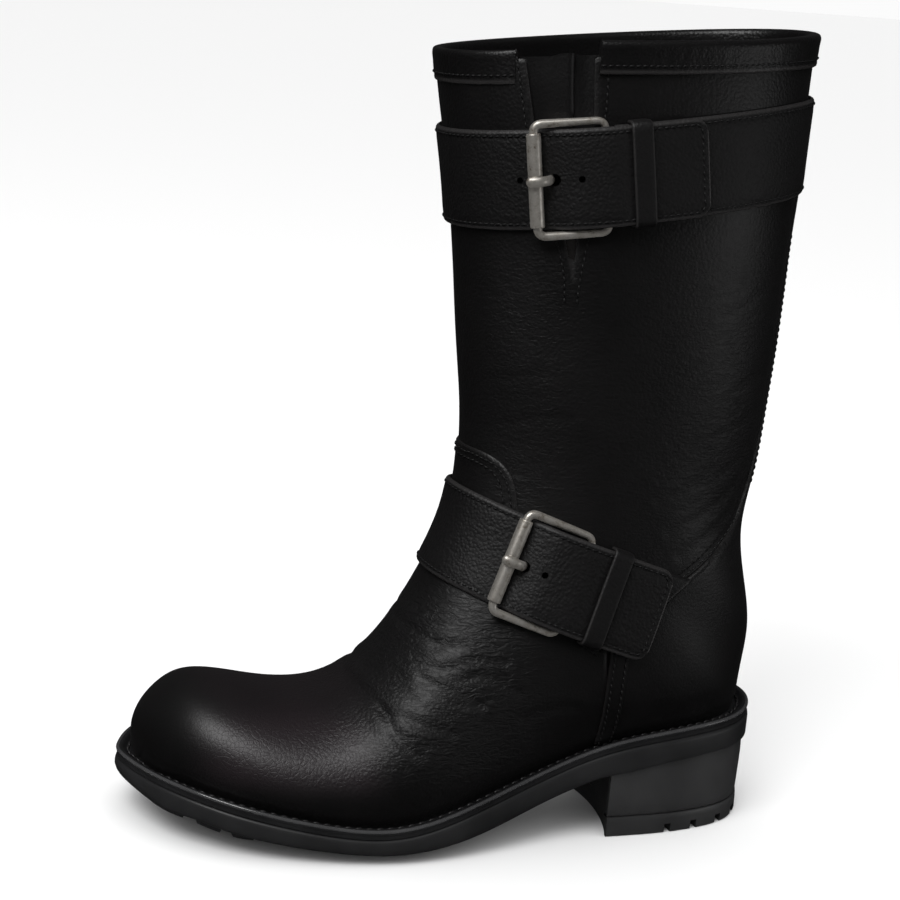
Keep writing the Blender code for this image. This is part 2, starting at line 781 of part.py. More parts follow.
def cylinder(name, start, end, radius, sides):
    """Round solid between two points, in the collection of helpers."""
    start = np.asarray(start, float)
    end = np.asarray(end, float)
    axis = Vector(end - start)
    body = bmesh.new()
    turn = axis.to_track_quat("Z", "Y").to_matrix().to_4x4()
    place = Matrix.Translation(Vector((start + end) / 2000)) @ turn
    bmesh.ops.create_cone(
        body,
        cap_ends=True,
        segments=sides,
        radius1=radius / 1000,
        radius2=radius / 1000,
        depth=axis.length / 1000,
        matrix=place,
    )
    mesh = bpy.data.meshes.new(name)
    body.to_mesh(mesh)
    body.free()
    made = new_object(name, tidied(mesh), cutters)
    hide(made)
    return made


hollow_x = HEEL_X - (HEEL_BREAST - BREAST_HOLLOW + BREAST_RADIUS)
hollow = cylinder("breast_hollow", (hollow_x, -1.0, -20), (hollow_x, -1.0, 60), BREAST_RADIUS, 128)
block_rings = [heel_ring(None, 1.4), heel_ring(LIFT_TOP + 9, 1.7), heel_ring(LIFT_TOP + GAP, 2.1)]
heel_block = new_object("heel_block", mesh_of("heel_block", *side_caps(block_rings)), boot, RUBBER, 0.5)
boolean(heel_block, hollow, "DIFFERENCE")
settle(heel_block)
lift_rings = [heel_ring(LIFT_TOP, 1.6), heel_ring(1.0, 1.4), heel_ring(0.0, 2.2)]
heel_lift = new_object("heel_lift", mesh_of("heel_lift", *side_caps(lift_rings)), boot, RUBBER, 0.6)
boolean(heel_lift, hollow, "DIFFERENCE")
for d in (9.3, 19.6, 32.7, 45.3):
    boolean(heel_lift, box("heel_groove_%d" % d, d - 1.5, d + 1.5, -60, -16, -5, 4.0), "DIFFERENCE")
    boolean(heel_lift, box("heel_groove_inner_%d" % d, d - 1.5, d + 1.5, 16, 60, -5, 4.0), "DIFFERENCE")
settle(heel_lift)


# Straps
def path_on(measure, level, fs, lowest):
    """Line on the skin where measure(d, z) has this level."""
    us = u_at(fs, measure, level, lowest)
    return skin(us, fs)[0]


def frames(path, runs):
    """Points, directions along and across the path, and normals, at these runs from its start."""
    t = run_of(path)
    c = np.stack([np.interp(runs, t, path[:, k]) for k in range(3)], -1)
    a = np.stack([np.interp(np.asarray(runs) + 1.5, t, path[:, k]) for k in range(3)], -1)
    b = np.stack([np.interp(np.asarray(runs) - 1.5, t, path[:, k]) for k in range(3)], -1)
    us, fs = snap(c)
    n = skin(us, fs)[1]
    along = a - b
    along -= (along * n).sum(1)[:, None] * n
    along /= np.linalg.norm(along, axis=1)[:, None]
    across = np.cross(n, along)
    across *= np.sign(across[:, 2].sum())
    return c, along, across, n


def band_at(path, runs, halves, offsets, thick, slices=(-1, 0, 1)):
    """Rings of a strap along the path: half width and inner offset for each run."""
    c, along, across, n = frames(path, runs)
    rings = []
    for k in range(len(c)):
        line = c[k] + np.outer(np.array(slices) * halves[k], across[k])
        us, fs = snap(line)
        low = skin(us, fs, np.full(len(us), offsets[k]))[0]
        edge_thick = np.where(np.abs(slices) == 1, thick - 0.3, thick)
        high = skin(us, fs, offsets[k] + edge_thick)[0]
        rings.append(np.r_[low, high[::-1]])
    return np.array(rings)


def tip_halves(runs, half, end):
    """Half widths that round the corners off at the strap's end."""
    left = np.clip((end - np.asarray(runs)) / 5.0, 0, 1)
    return half - 4.6 * (1 - np.sqrt(np.clip(1 - (1 - left) ** 2, 0, 1)))


def make_strap(name, path, runs, halves, offsets, hole=None):
    rings = band_at(path, runs, halves, offsets, STRAP_THICK)
    made = new_object(name, mesh_of(name, *loft(rings)), boot, LEATHER, 0.4)
    for k, at in enumerate(hole or []):
        c, along, across, n = frames(path, [at])
        drill = cylinder("%s_hole_%d" % (name, k), c[0] - n[0] * 3, c[0] + n[0] * 14, HOLE_RADIUS, 10)
        boolean(made, drill, "DIFFERENCE")
    if hole:
        settle(made)
    return made


def wire(name, points, radius, closed, colour=METAL, rough=0.3, sides=1):
    """Round bar through points: a curve with a bevel and filled ends."""
    curve = bpy.data.curves.new(name, "CURVE")
    curve.dimensions = "3D"
    curve.bevel_depth = radius / 1000
    curve.bevel_resolution = sides
    curve.use_fill_caps = True
    line = curve.splines.new("POLY")
    line.points.add(len(points) - 1)
    for point, p in zip(line.points, points):
        point.co = (*(np.asarray(p) / 1000), 1)
    line.use_cyclic_u = closed
    guide = bpy.data.objects.new(name + "_line", curve)
    cutters.objects.link(guide)
    guide.hide_render = True
    bpy.context.view_layer.update()
    mesh = bpy.data.meshes.new_from_object(guide.evaluated_get(bpy.context.evaluated_depsgraph_get()))
    bpy.data.objects.remove(guide)
    return new_object(name, tidied(mesh), boot, colour, rough, 1.0)


def rounded(corners, radius, steps=4):
    """Closed line through corners, each turned with this radius."""
    corners = [np.asarray(c, float) for c in corners]
    line = []
    for k, here in enumerate(corners):
        before = corners[k - 1] - here
        after = corners[(k + 1) % len(corners)] - here
        a = here + before / np.linalg.norm(before) * radius
        b = here + after / np.linalg.norm(after) * radius
        for s in np.linspace(0, 1, steps):
            line.append((1 - s) ** 2 * a + 2 * s * (1 - s) * here + s * s * b)
    return line


def buckle(name, path, roller_at, base, lift):
    """Frame, roller and prong at this run of the path, on a strap whose inner offset is base."""
    c, along, across, n = frames(path, [roller_at, roller_at + BUCKLE_RUN, roller_at + BUCKLE_RUN / 2])
    across_mean = across[2]
    normal_mean = n[2]
    left = c[0] + n[0] * (base + STRAP_THICK + lift + ROLLER_RADIUS)
    right = c[1] + n[1] * (base + 2.1)
    corners = [
        left + across_mean * BUCKLE_HALF,
        right + across_mean * BUCKLE_HALF,
        right - across_mean * BUCKLE_HALF,
        left - across_mean * BUCKLE_HALF,
    ]
    wire(name + "_frame", rounded(corners, 3.4), BUCKLE_WIRE, True)
    reach = across_mean * ROLLER_LENGTH / 2
    solid = cylinder(name + "_tube", left - reach, left + reach, ROLLER_RADIUS, 16)
    tube = new_object(name + "_roller", solid.data, boot, METAL, 0.3, 1.0)
    bore = cylinder(name + "_bore", left - across_mean * 30, left + across_mean * 30, BUCKLE_WIRE + 0.3, 12)
    boolean(tube, bore, "DIFFERENCE")
    settle(tube)
    along_mean = np.cross(across_mean, normal_mean)
    along_mean *= np.sign((along_mean * along[2]).sum())
    top = ROLLER_RADIUS + 0.3 + PRONG_RADIUS
    spots = [(-3.0, top - 1.0), (-1.4, top - 0.1), (0.8, top), (3.2, top - 1.0)]
    spots += [(5.1, 1.2), (6.0, -2.4), (6.4, -4.4)]
    prong = [left + along_mean * s + normal_mean * h for s, h in spots]
    wire(name + "_prong", prong, PRONG_RADIUS, False)


def ramp(runs, table):
    rows = np.array(table, float)
    return np.interp(runs, rows[:, 0], rows[:, 1])


# Top strap: once round the shaft, its free end over the start
TOP_SLOPE = 0.138


def top_measure(d, z):
    return (z - 260.4 - TOP_SLOPE * (146 - d)) / math.hypot(1, TOP_SLOPE)


loop_fs = np.linspace(-1, 1, 257)
top_loop = path_on(top_measure, 0.0, loop_fs, 0.55)[:-1]


def rolled_loop(loop, start_d):
    """Closed loop as a path that starts on the buckle side at d and runs towards the heel."""
    side = np.where(np.arange(len(loop)) < len(loop) // 2)[0]
    first = side[np.argmin(np.abs(HEEL_X - loop[side, 0] - start_d))]
    turned = np.roll(loop[::-1], first + 1, 0)
    return np.r_[turned, turned, turned[:1]]


ring_path = rolled_loop(top_loop, 117.2)
round_length = run_of(np.r_[top_loop, top_loop[:1]])[-1]
pivot = BUCKLE_RUN
runs = np.r_[pivot + 2.6, np.linspace(pivot + 8, round_length - 8, 44)]
end_runs = np.array([-4, 0, 2.4, 5.5, 9, 13, 18, 24, 31, 36, 44, 52, 59, 62.4, 64.6, 66.2, 67.2])
runs = np.r_[runs, round_length + end_runs]
TOP_BASE = 0.6
offsets = ramp(
    runs,
    [
        (0, TOP_BASE),
        (round_length + 1, TOP_BASE),
        (round_length + 8, 3.3),
        (round_length + 14, 4.9),
        (round_length + 28, 5.3),
        (round_length + 42, 3.1),
        (round_length + 80, 3.0),
    ],
)
halves = tip_halves(runs, STRAP_WIDTH / 2, round_length + 67.2)
top_strap = make_strap("top_strap", ring_path, runs, halves, offsets, [round_length + 5.5])
buckle("top_buckle", ring_path, round_length, TOP_BASE, 0.5)


def keeper(name, path, at, low, high):
    """Loop across the strap: a bridge over it with a leg at each edge."""
    c, along, across, n = frames(path, [at - KEEPER_WIDTH / 2, at + KEEPER_WIDTH / 2])
    reach = STRAP_WIDTH / 2 + 0.4
    profile = [
        (-reach, low),
        (-reach, high),
        (0, high + 0.2),
        (reach, high),
        (reach, low),
        (reach + 1.3, low),
        (reach + 1.3, high + 0.8),
        (reach, high + 1.5),
        (0, high + 1.7),
        (-reach, high + 1.5),
        (-reach - 1.3, high + 0.8),
        (-reach - 1.3, low),
    ]
    rings = []
    for k in range(2):
        ring = []
        for v, h in profile:
            us, fs = snap((c[k] + across[k] * v)[None])
            ring.append(skin(us, fs, np.array([h]))[0][0])
        rings.append(ring)
    return new_object(name, mesh_of(name, *loft(rings)), boot, LEATHER, 0.4)


keeper("top_keeper", ring_path, round_length + 40.6, 0.5, 6.2)


# Instep strap: from the inner counter over the instep, through the buckle, to its tip
INSTEP_TILT = 0.333


def instep_measure(d, z):
    return math.sqrt(1 - INSTEP_TILT**2) * z - INSTEP_TILT * d


instep_fs = np.linspace(0.80, -0.86, 240)
instep_path = path_on(instep_measure, 69.2, instep_fs, 0.2)
instep_t = run_of(instep_path)


def run_at(d, inner=False):
    """Run of the place where the path passes d, on the buckle side or the inner side."""
    side = instep_fs > 0 if inner else instep_fs < 0
    ds = HEEL_X - instep_path[:, 0]
    k = np.where(side)[0]
    return float(instep_t[k[np.argmin(np.abs(ds[k] - d))]])


roller_run = run_at(119.5)
tip_run = run_at(62.8)
start_run = run_at(59.0, True)
INSTEP_BASE = 1.5
runs = np.r_[np.linspace(start_run, roller_run - 4, 30), roller_run]
runs = np.r_[runs, roller_run + np.array([2.4, 5.5, 9, 13, 18, 23, 28])]
rest = np.linspace(roller_run + 34, tip_run - 6, 4)
runs = np.r_[runs, rest, tip_run - np.array([4.2, 2.4, 1.0, 0.0])]
offsets = ramp(
    runs,
    [
        (start_run, 1.95),
        (start_run + 25, 1.95),
        (start_run + 45, INSTEP_BASE),
        (roller_run + 1, INSTEP_BASE),
        (roller_run + 8, 4.2),
        (roller_run + 14, 5.6),
        (roller_run + 28, 6.0),
        (roller_run + 42, 4.5),
        (tip_run, 4.4),
    ],
)
halves = tip_halves(runs, STRAP_WIDTH / 2, tip_run)
instep_strap = make_strap("instep_strap", instep_path, runs, halves, offsets, [roller_run + 5.5])
tab_end = run_at(52.0)
tab_runs = np.linspace(roller_run + BUCKLE_RUN + 2.6, tab_end, 9)
tab_halves = np.full(9, STRAP_WIDTH / 2 - 0.6)
tab = make_strap("instep_buckle_tab", instep_path, tab_runs, tab_halves, np.full(9, 1.5))
boolean(tab, plate("counter_clearance", COUNTER_EDGE, -120, 0), "DIFFERENCE")
settle(tab)
buckle("instep_buckle", instep_path, roller_run, INSTEP_BASE, 1.0)
keeper("instep_keeper", instep_path, roller_run + 41.0, 1.9, 7.2)

for piece in boot.objects:
    piece.data.shade_smooth()
    piece.data.set_sharp_from_angle(angle=math.radians(35))
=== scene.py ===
"""Engineer boot, left, standing empty on a pale floor."""

import math

import bmesh
import bpy
import numpy as np
from mathutils import Matrix, Vector


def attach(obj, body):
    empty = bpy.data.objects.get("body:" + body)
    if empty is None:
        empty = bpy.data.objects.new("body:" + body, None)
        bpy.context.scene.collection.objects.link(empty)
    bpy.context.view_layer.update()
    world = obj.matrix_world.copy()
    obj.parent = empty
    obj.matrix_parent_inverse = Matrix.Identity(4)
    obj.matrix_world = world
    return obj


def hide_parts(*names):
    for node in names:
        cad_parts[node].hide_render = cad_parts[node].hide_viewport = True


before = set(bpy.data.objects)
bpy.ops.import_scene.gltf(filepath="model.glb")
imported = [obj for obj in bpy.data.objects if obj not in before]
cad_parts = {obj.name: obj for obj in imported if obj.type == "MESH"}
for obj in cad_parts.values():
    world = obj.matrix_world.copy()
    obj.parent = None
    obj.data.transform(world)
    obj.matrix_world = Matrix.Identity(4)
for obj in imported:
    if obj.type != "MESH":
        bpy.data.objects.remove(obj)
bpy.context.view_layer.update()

# Sizes in millimetres, as in the solids. d is the distance from the back of the heel towards the toe.
HEEL_X = 35.5
FLARE = 21.8
FLARE_START = 94.4
FLARE_RUN = 169.9
LEAN = 23.4
LEAN_START = 60.0
COLLAR_Z = 317.5
FEATHER_INSET = 7.0
WALL = 2.2
GAP = 0.35
VAMP_STEP = 1.0
COUNTER_STEP = 1.55
WELT_THICK = 3.8
WELT_DIP = 1.0
LUG_DEPTH = 4.3
TOE_DROP = 2.6
TOE_DROP_START = 238
HEEL_BREAST = 72.8
BREAST_HOLLOW = 6.0
BREAST_RADIUS = 88.0
STRAP_WIDTH = 38.0
STRAP_THICK = 2.0
BUCKLE_WIRE = 1.7
BUCKLE_HALF = 21.6
BUCKLE_RUN = 28.0
BAR_RUN = 26.0
ROLLER_RADIUS = 2.8
ROLLER_LENGTH = 36.4
KEEPER_WIDTH = 8.0
COLLAR_FRONT = (148.3, 309.5)
COLLAR_BACK = (-8.2, 325.5)

# d, half width on the buckle side, half width on the inner side
SOLE_OUTLINE = [
    (0, 0, 0), (3, 12.8, 13.4), (8, 20.8, 21.8), (16, 27.6, 28.6), (28, 32.4, 33.2), (45, 35.4, 34.0),
    (60, 36.1, 32.2), (80, 36.0, 29.8), (100, 38.2, 28.9), (120, 43.6, 30.4), (140, 49.4, 34.7),
    (160, 53.0, 41.1), (180, 53.6, 47.6), (200, 51.8, 51.0), (215, 49.0, 50.2), (230, 44.3, 46.4),
    (242, 37.4, 40.4), (252, 27.6, 31.6), (259, 16.2, 20.6), (263, 6.6, 10.6), (264.8, -2.2, 2.2),
]
# d, height of the welt's top, height of the outsole's lower edge
SOLE_SIDE = [
    (0, 48.6, 34.5), (38, 46.2, 32.8), (71, 41.7, 27.3), (99, 33.6, 19.0), (132, 23.3, 8.5),
    (165, 15.3, 3.7), (193, 16.6, 5.1), (226, 22.0, 9.4), (250, 25.6, 14.5), (265, 26.0, 18.4),
]
# ridge d and z, base d and z, half width outside and inside, widest place, roundness above and below it
UPPER_SECTIONS = [
    ("toe point", 258.4, 38.0, 258.4, 37.0, 0.5, 0.5, 0.50, 2.0, 2.0),
    ("toe cap front", 253.8, 46.3, 257.0, 24.0, 13.0, 13.0, 0.48, 2.0, 2.2),
    ("toe cap", 248.0, 52.0, 252.0, 16.0, 23.5, 23.5, 0.45, 2.05, 2.4),
    ("toe shoulder", 240.0, 56.4, 241.5, 13.0, 32.5, 33.0, 0.42, 2.1, 2.6),
    ("toe box", 226.0, 56.6, 226.0, 10.0, 40.5, 42.0, 0.42, 2.1, 3.0),
    ("joint front", 206.0, 53.2, 206.0, 6.0, 46.5, 47.0, 0.42, 2.1, 3.0),
    ("ball", 184.0, 55.0, 183.0, 4.0, 48.8, 44.5, 0.42, 2.1, 3.0),
    ("waist front", 167.5, 67.0, 158.0, 4.0, 48.6, 38.5, 0.42, 2.1, 3.0),
    ("waist", 155.5, 84.0, 130.0, 10.0, 44.0, 34.5, 0.42, 2.1, 3.0),
    ("instep", 146.0, 102.0, 100.0, 20.0, 39.5, 33.5, 0.43, 2.1, 3.0),
    ("instep top", 138.5, 119.5, 66.0, 30.0, 37.5, 34.0, 0.44, 2.1, 2.6),
    ("ankle front", 133.8, 137.0, 34.0, 35.0, 37.0, 35.0, 0.46, 2.1, 2.4),
    ("heel seat", 132.5, 154.5, 12.0, 42.0, 36.2, 35.0, 0.48, 2.1, 2.3),
    ("heel low", 132.8, 170.0, 8.0, 58.0, 35.5, 34.6, 0.49, 2.1, 2.2),
    ("heel round", 133.8, 183.0, 5.6, 78.0, 35.3, 34.6, 0.50, 2.15, 2.2),
    ("heel top", 135.0, 196.0, 8.5, 98.0, 35.6, 35.0, 0.50, 2.2, 2.2),
    ("ankle back", 136.3, 210.0, 11.8, 120.0, 36.4, 36.0, 0.50, 2.2, 2.2),
    ("ankle", 137.6, 226.0, 8.3, 143.0, 37.6, 37.4, 0.50, 2.2, 2.2),
    ("shaft low", 139.3, 243.0, 4.0, 172.0, 39.2, 39.2, 0.50, 2.2, 2.2),
    ("shaft middle", 141.6, 262.0, 0.0, 210.0, 41.2, 41.2, 0.50, 2.2, 2.2),
    ("shaft high", 144.8, 284.0, -3.7, 255.0, 43.4, 43.4, 0.50, 2.2, 2.2),
    ("shaft top", 147.3, 300.0, -6.2, 295.0, 45.0, 45.0, 0.50, 2.2, 2.2),
    ("collar", COLLAR_FRONT[0], COLLAR_FRONT[1], COLLAR_BACK[0], COLLAR_BACK[1], 45.5, 45.5, 0.50, 2.2, 2.2),
    ("above collar", 148.8, 315.5, -8.8, 332.0, 45.8, 45.8, 0.50, 2.2, 2.2),
]
# How much the rim of the rear panel rises above the collar plane, outer side: d, rise
RIM_RISE = [(0, 0.0), (35, 0.6), (70, 2.0), (100, 3.4), (104, 3.6), (112, 0.6), (126, 0.4), (140, 0.0)]
# Edges of the panels seen from the side: d, z
VAMP_EDGE = [
    (175, 155), (134, 155.8), (128, 155.2), (123.5, 153.0), (120, 149.3), (118, 144.5), (116.9, 137),
    (113, 120), (104, 102), (92, 90), (81, 82), (79.6, 62), (79.9, 10), (290, 10), (290, 155),
]
COUNTER_EDGE = [
    (78.4, 10), (78.2, 62), (78.6, 79), (64, 93.5), (47.2, 108.0), (37.5, 114.5), (29.8, 120.6),
    (21.6, 127.9), (15.8, 137), (12.2, 148), (8.4, 162), (4.6, 190), (0.9, 222), (-1.2, 245), (-1.4, 262),
    (-40, 262), (-40, 10),
]
NOTCH_EDGE = [
    (127.5, 335), (126.2, 311.8), (123.6, 298), (120.8, 284), (114.5, 262), (107.2, 243), (103.2, 228),
    (102.6, 243), (100.8, 262), (99.8, 284), (101.0, 300), (103.0, 335),
]


# Plain numbers
def spline(t, y, s, periodic=False):
    """Cubic spline through the rows of y at t, read at s."""
    t = np.asarray(t, float)
    y = np.asarray(y, float)
    s = np.asarray(s, float)
    n = len(t)
    h = np.diff(t)
    tail = (1,) * (y.ndim - 1)
    slope = np.diff(y, axis=0) / h.reshape((-1,) + tail)
    system = np.zeros((n, n))
    right = np.zeros(y.shape)
    for i in range(1, n - 1):
        system[i, i - 1 : i + 2] = h[i - 1], 2 * (h[i - 1] + h[i]), h[i]
        right[i] = 6 * (slope[i] - slope[i - 1])
    if periodic:
        system[0, 0] = 1
        system[0, -1] = -1
        system[-1, 0] += 2 * h[0]
        system[-1, 1] += h[0]
        system[-1, -2] += h[-1]
        system[-1, -1] += 2 * h[-1]
        right[-1] = 6 * (slope[0] - slope[-1])
    else:
        system[0, 0] = 1
        system[-1, -1] = 1
    bend = np.linalg.solve(system, right.reshape(n, -1)).reshape(y.shape)
    i = np.clip(np.searchsorted(t, s, side="right") - 1, 0, n - 2)
    step = h[i].reshape((-1,) + tail)
    a = (t[i + 1] - s).reshape(step.shape) / step
    b = 1 - a
    return a * y[i] + b * y[i + 1] + ((a**3 - a) * bend[i] + (b**3 - b) * bend[i + 1]) * step**2 / 6


def run_of(points):
    return np.r_[0, np.cumsum(np.linalg.norm(np.diff(points, axis=0), axis=1))]


def spaced(line, count):
    """The smooth curve through a line's points, as count points."""
    t = run_of(line)
    return spline(t, line, np.linspace(0, t[-1], count))


def smooth(x):
    x = np.clip(x, 0, 1)
    return x * x * (3 - 2 * x)


def flare(d):
    return FLARE * np.clip((np.asarray(d) - FLARE_START) / FLARE_RUN, 0, None) ** 1.5


def lean(z):
    t = np.clip((np.asarray(z) - LEAN_START) / (COLLAR_Z - LEAN_START), 0, 1.2)
    return LEAN * (0.75 * t + 0.25 * t * t * (3 - 2 * t))


def side_line(d, column):
    rows = np.array(SOLE_SIDE, float)
    return spline(rows[:, 0], rows[:, column], np.clip(np.atleast_1d(np.asarray(d, float)), 0, 265))


def welt_top(d):
    return side_line(d, 1)


def sole_low(d):
    """Height of the outsole's lower edge, which at the very toe is lower here than in the solid."""
    return side_line(d, 2) - TOE_DROP * smooth((np.asarray(d) - TOE_DROP_START) / 15)


def outline(count):
    """The sole's edge as rows of d and y, before the flare."""
    rows = SOLE_OUTLINE
    tip = rows[-1]
    points = [(d, -a) for d, a, b in rows[:-1]]
    points += [(tip[0], (tip[2] - tip[1]) / 2)]
    points += [(d, b) for d, a, b in reversed(rows[1:-1])]
    points = np.array(points + points[:1], float)
    t = run_of(points)
    return spline(t, points, np.linspace(0, t[-1], count, endpoint=False), True)


def inset(points, by):
    along = np.roll(points, -1, 0) - np.roll(points, 1, 0)
    along /= np.linalg.norm(along, axis=1)[:, None]
    return points + np.c_[-along[:, 1], along[:, 0]] * np.asarray(by)[..., None]


def at_height(points, z):
    z = np.broadcast_to(z, (len(points),))
    return np.c_[HEEL_X - points[:, 0], points[:, 1] + flare(points[:, 0]), z]


# The upper's skin
FEATHER = inset(outline(1200), FEATHER_INSET)


def feather_halves(d):
    back = FEATHER[:, 0].argmin()
    rolled = np.roll(FEATHER, -back, 0)
    front = rolled[:, 0].argmax()
    outer = rolled[: front + 1]
    inner = rolled[front:]
    a = np.argsort(outer[:, 0])
    b = np.argsort(inner[:, 0])
    return -np.interp(d, outer[a, 0], outer[a, 1]), np.interp(d, inner[b, 0], inner[b, 1])


def roundness_for(ratio, height):
    low = 1.6
    high = 6.0
    for _ in range(40):
        middle = (low + high) / 2
        if 1 - (1 - height) ** middle < ratio**middle:
            low = middle
        else:
            high = middle
    return (low + high) / 2


def half_section(width, widest, upper_round, lower_round, length, count):
    a = np.linspace(0, math.pi / 2, 500)
    sin = np.sin(a)
    cos = np.cos(a)
    cos[-1] = 0
    high = widest + (1 - widest) * cos ** (2 / upper_round)
    low = widest - widest * sin ** (2 / lower_round)
    h = np.r_[high, low[1:]]
    w = np.r_[width * sin ** (2 / upper_round), (width * cos ** (2 / lower_round))[1:]]
    q = run_of(np.c_[h * length, w])
    p = np.linspace(0, q[-1], count)
    return np.interp(p, q, h), np.interp(p, q, w)


def skin_rows(us, around):
    """Outer surface: one closed section for each u, ridge in the middle, base at both ends."""
    rows = np.array([row[1:] for row in UPPER_SECTIONS], float)
    run = (run_of(rows[:, 0:2]) + run_of(rows[:, 2:4])) / 2
    values = spline(run / run[-1], rows, us)
    surface = np.zeros((len(us), around, 3))
    steps = np.linspace(0, 1, 400)
    for i, (rd, rz, bd, bz, outer, inner, widest, upper_round, lower_round) in enumerate(values):
        outer = max(outer, 0.2)
        inner = max(inner, 0.2)
        ds = bd + (rd - bd) * steps
        above = bz + (rz - bz) * steps - welt_top(ds)
        rounds = [lower_round, lower_round]
        if above[0] < 0 and bd < 257:
            k = int(np.argmax(above > 0))
            cross = steps[k - 1] + (steps[k] - steps[k - 1]) * above[k - 1] / (above[k - 1] - above[k])
            height = min(cross / widest, 0.98)
            share = float(smooth((bd - 10.6) / 15))
            at = bd + (rd - bd) * cross
            for side, (half, wide) in enumerate(zip(feather_halves(at), (outer, inner))):
                found = roundness_for(min(max(half, 1) / wide, 0.995), height)
                rounds[side] = lower_round + (found - lower_round) * share
        length = math.hypot(rd - bd, rz - bz)
        count = around // 2 + 1
        h0, w0 = half_section(outer, widest, upper_round, rounds[0], length, count)
        h1, w1 = half_section(inner, widest, upper_round, rounds[1], length, count)
        h = np.r_[h0[::-1], h1[1:]]
        w = np.r_[-w0[::-1], w1[1:]]
        d = bd + (rd - bd) * h
        z = bz + (rz - bz) * h
        surface[i] = np.c_[HEEL_X - d, w + flare(d) + lean(z), z]
    return surface


def normals_of(surface):
    along = np.gradient(surface, axis=0)
    closed = np.concatenate([surface[:, -2:-1], surface, surface[:, 1:2]], axis=1)
    across = (closed[:, 2:] - closed[:, :-2]) / 2
    n = np.cross(along, across)
    n /= np.linalg.norm(n, axis=2)[..., None] + 1e-12
    middle = surface.mean(axis=1, keepdims=True)
    if ((surface - middle) * n).sum() < 0:
        n = -n
    n[0] = (-1, 0, 0)
    return n


FINE_U = 561
FINE_F = 513
FINE = skin_rows(np.linspace(0, 1, FINE_U), FINE_F)
FINE_N = normals_of(FINE)


def skin(u, f, off=0.0):
    """Point and normal of the skin at u (toe 0, top 1) and f (base -1, ridge 0, base 1; buckles below 0)."""
    u = np.clip(np.asarray(u, float), 0, 1) * (FINE_U - 1)
    f = (np.clip(np.asarray(f, float), -1, 1) + 1) / 2 * (FINE_F - 1)
    i = np.clip(u.astype(int), 0, FINE_U - 2)
    j = np.clip(f.astype(int), 0, FINE_F - 2)
    a = (u - i)[..., None]
    b = (f - j)[..., None]

    def mix(g):
        low = g[i, j] * (1 - b) + g[i, j + 1] * b
        high = g[i + 1, j] * (1 - b) + g[i + 1, j + 1] * b
        return low * (1 - a) + high * a

    n = mix(FINE_N)
    n /= np.linalg.norm(n, axis=-1)[..., None]
    return mix(FINE) + n * np.asarray(off, float)[..., None], n


def snap(points):
    """Nearest u and f of the skin for each point."""
    points = np.asarray(points, float)
    flat = points.reshape(-1, 3)
    coarse = FINE[::8, ::8]
    columns = coarse.shape[1]
    cells = coarse.reshape(-1, 3)
    near = np.empty(len(flat), int)
    for a in range(0, len(flat), 800):
        part = flat[a : a + 800]
        near[a : a + 800] = ((part[:, None] - cells[None]) ** 2).sum(2).argmin(1)
    us = (near // columns) * 8 / (FINE_U - 1)
    fs = (near % columns) * 8 / (FINE_F - 1) * 2 - 1
    for _ in range(12):
        e = 2e-3
        u0 = np.clip(us, e, 1 - e)
        f0 = np.clip(fs, e - 1, 1 - e)
        here, _n = skin(u0, f0)
        su = (skin(u0 + e, f0)[0] - skin(u0 - e, f0)[0]) / (2 * e)
        sf = (skin(u0, f0 + e)[0] - skin(u0, f0 - e)[0]) / (2 * e)
        r = flat - here
        a = (su * su).sum(1)
        b = (su * sf).sum(1)
        c = (sf * sf).sum(1)
        p = (r * su).sum(1)
        q = (r * sf).sum(1)
        det = a * c - b * b + 1e-9
        us = np.clip(u0 + np.clip((c * p - b * q) / det, -0.03, 0.03), 0, 1)
        fs = np.clip(f0 + np.clip((a * q - b * p) / det, -0.05, 0.05), -1, 1)
    return us.reshape(points.shape[:-1]), fs.reshape(points.shape[:-1])


def u_at(fs, measure, level, lowest=0.3):
    us = np.linspace(lowest, 1, 500)
    found = []
    for f, at in zip(np.atleast_1d(fs), np.broadcast_to(level, np.shape(np.atleast_1d(fs)))):
        line, _n = skin(us, np.full(500, f))
        found.append(np.interp(at, measure(HEEL_X - line[:, 0], line[:, 2]), us))
    return np.array(found)


def collar_drop(d, z):
    (fd, fz), (bd, bz) = COLLAR_FRONT, COLLAR_BACK
    slope = (fz - bz) / (fd - bd)
    return (bz + slope * (d - bd) - z) / math.hypot(1, slope)


def edge_distance(points, edge, closed=True):
    """Distance of rows of two numbers from an edge, positive inside a closed one."""
    points = np.asarray(points, float)
    edge = np.asarray(edge, float)
    ends = np.roll(edge, -1, 0) if closed else edge[1:]
    starts = edge if closed else edge[:-1]
    best = np.full(len(points), 1e9)
    inside = np.zeros(len(points), bool)
    for a, b in zip(starts, ends):
        ab = b - a
        t = np.clip(((points - a) @ ab) / (ab @ ab + 1e-12), 0, 1)
        best = np.minimum(best, np.hypot(*(points - a - t[:, None] * ab).T))
        if closed and a[1] != b[1]:
            crosses = (a[1] > points[:, 1]) != (b[1] > points[:, 1])
            at = a[0] + (points[:, 1] - a[1]) * ab[0] / ab[1]
            inside ^= crosses & (points[:, 0] < at)
    return np.where(inside, best, -best) if closed else best


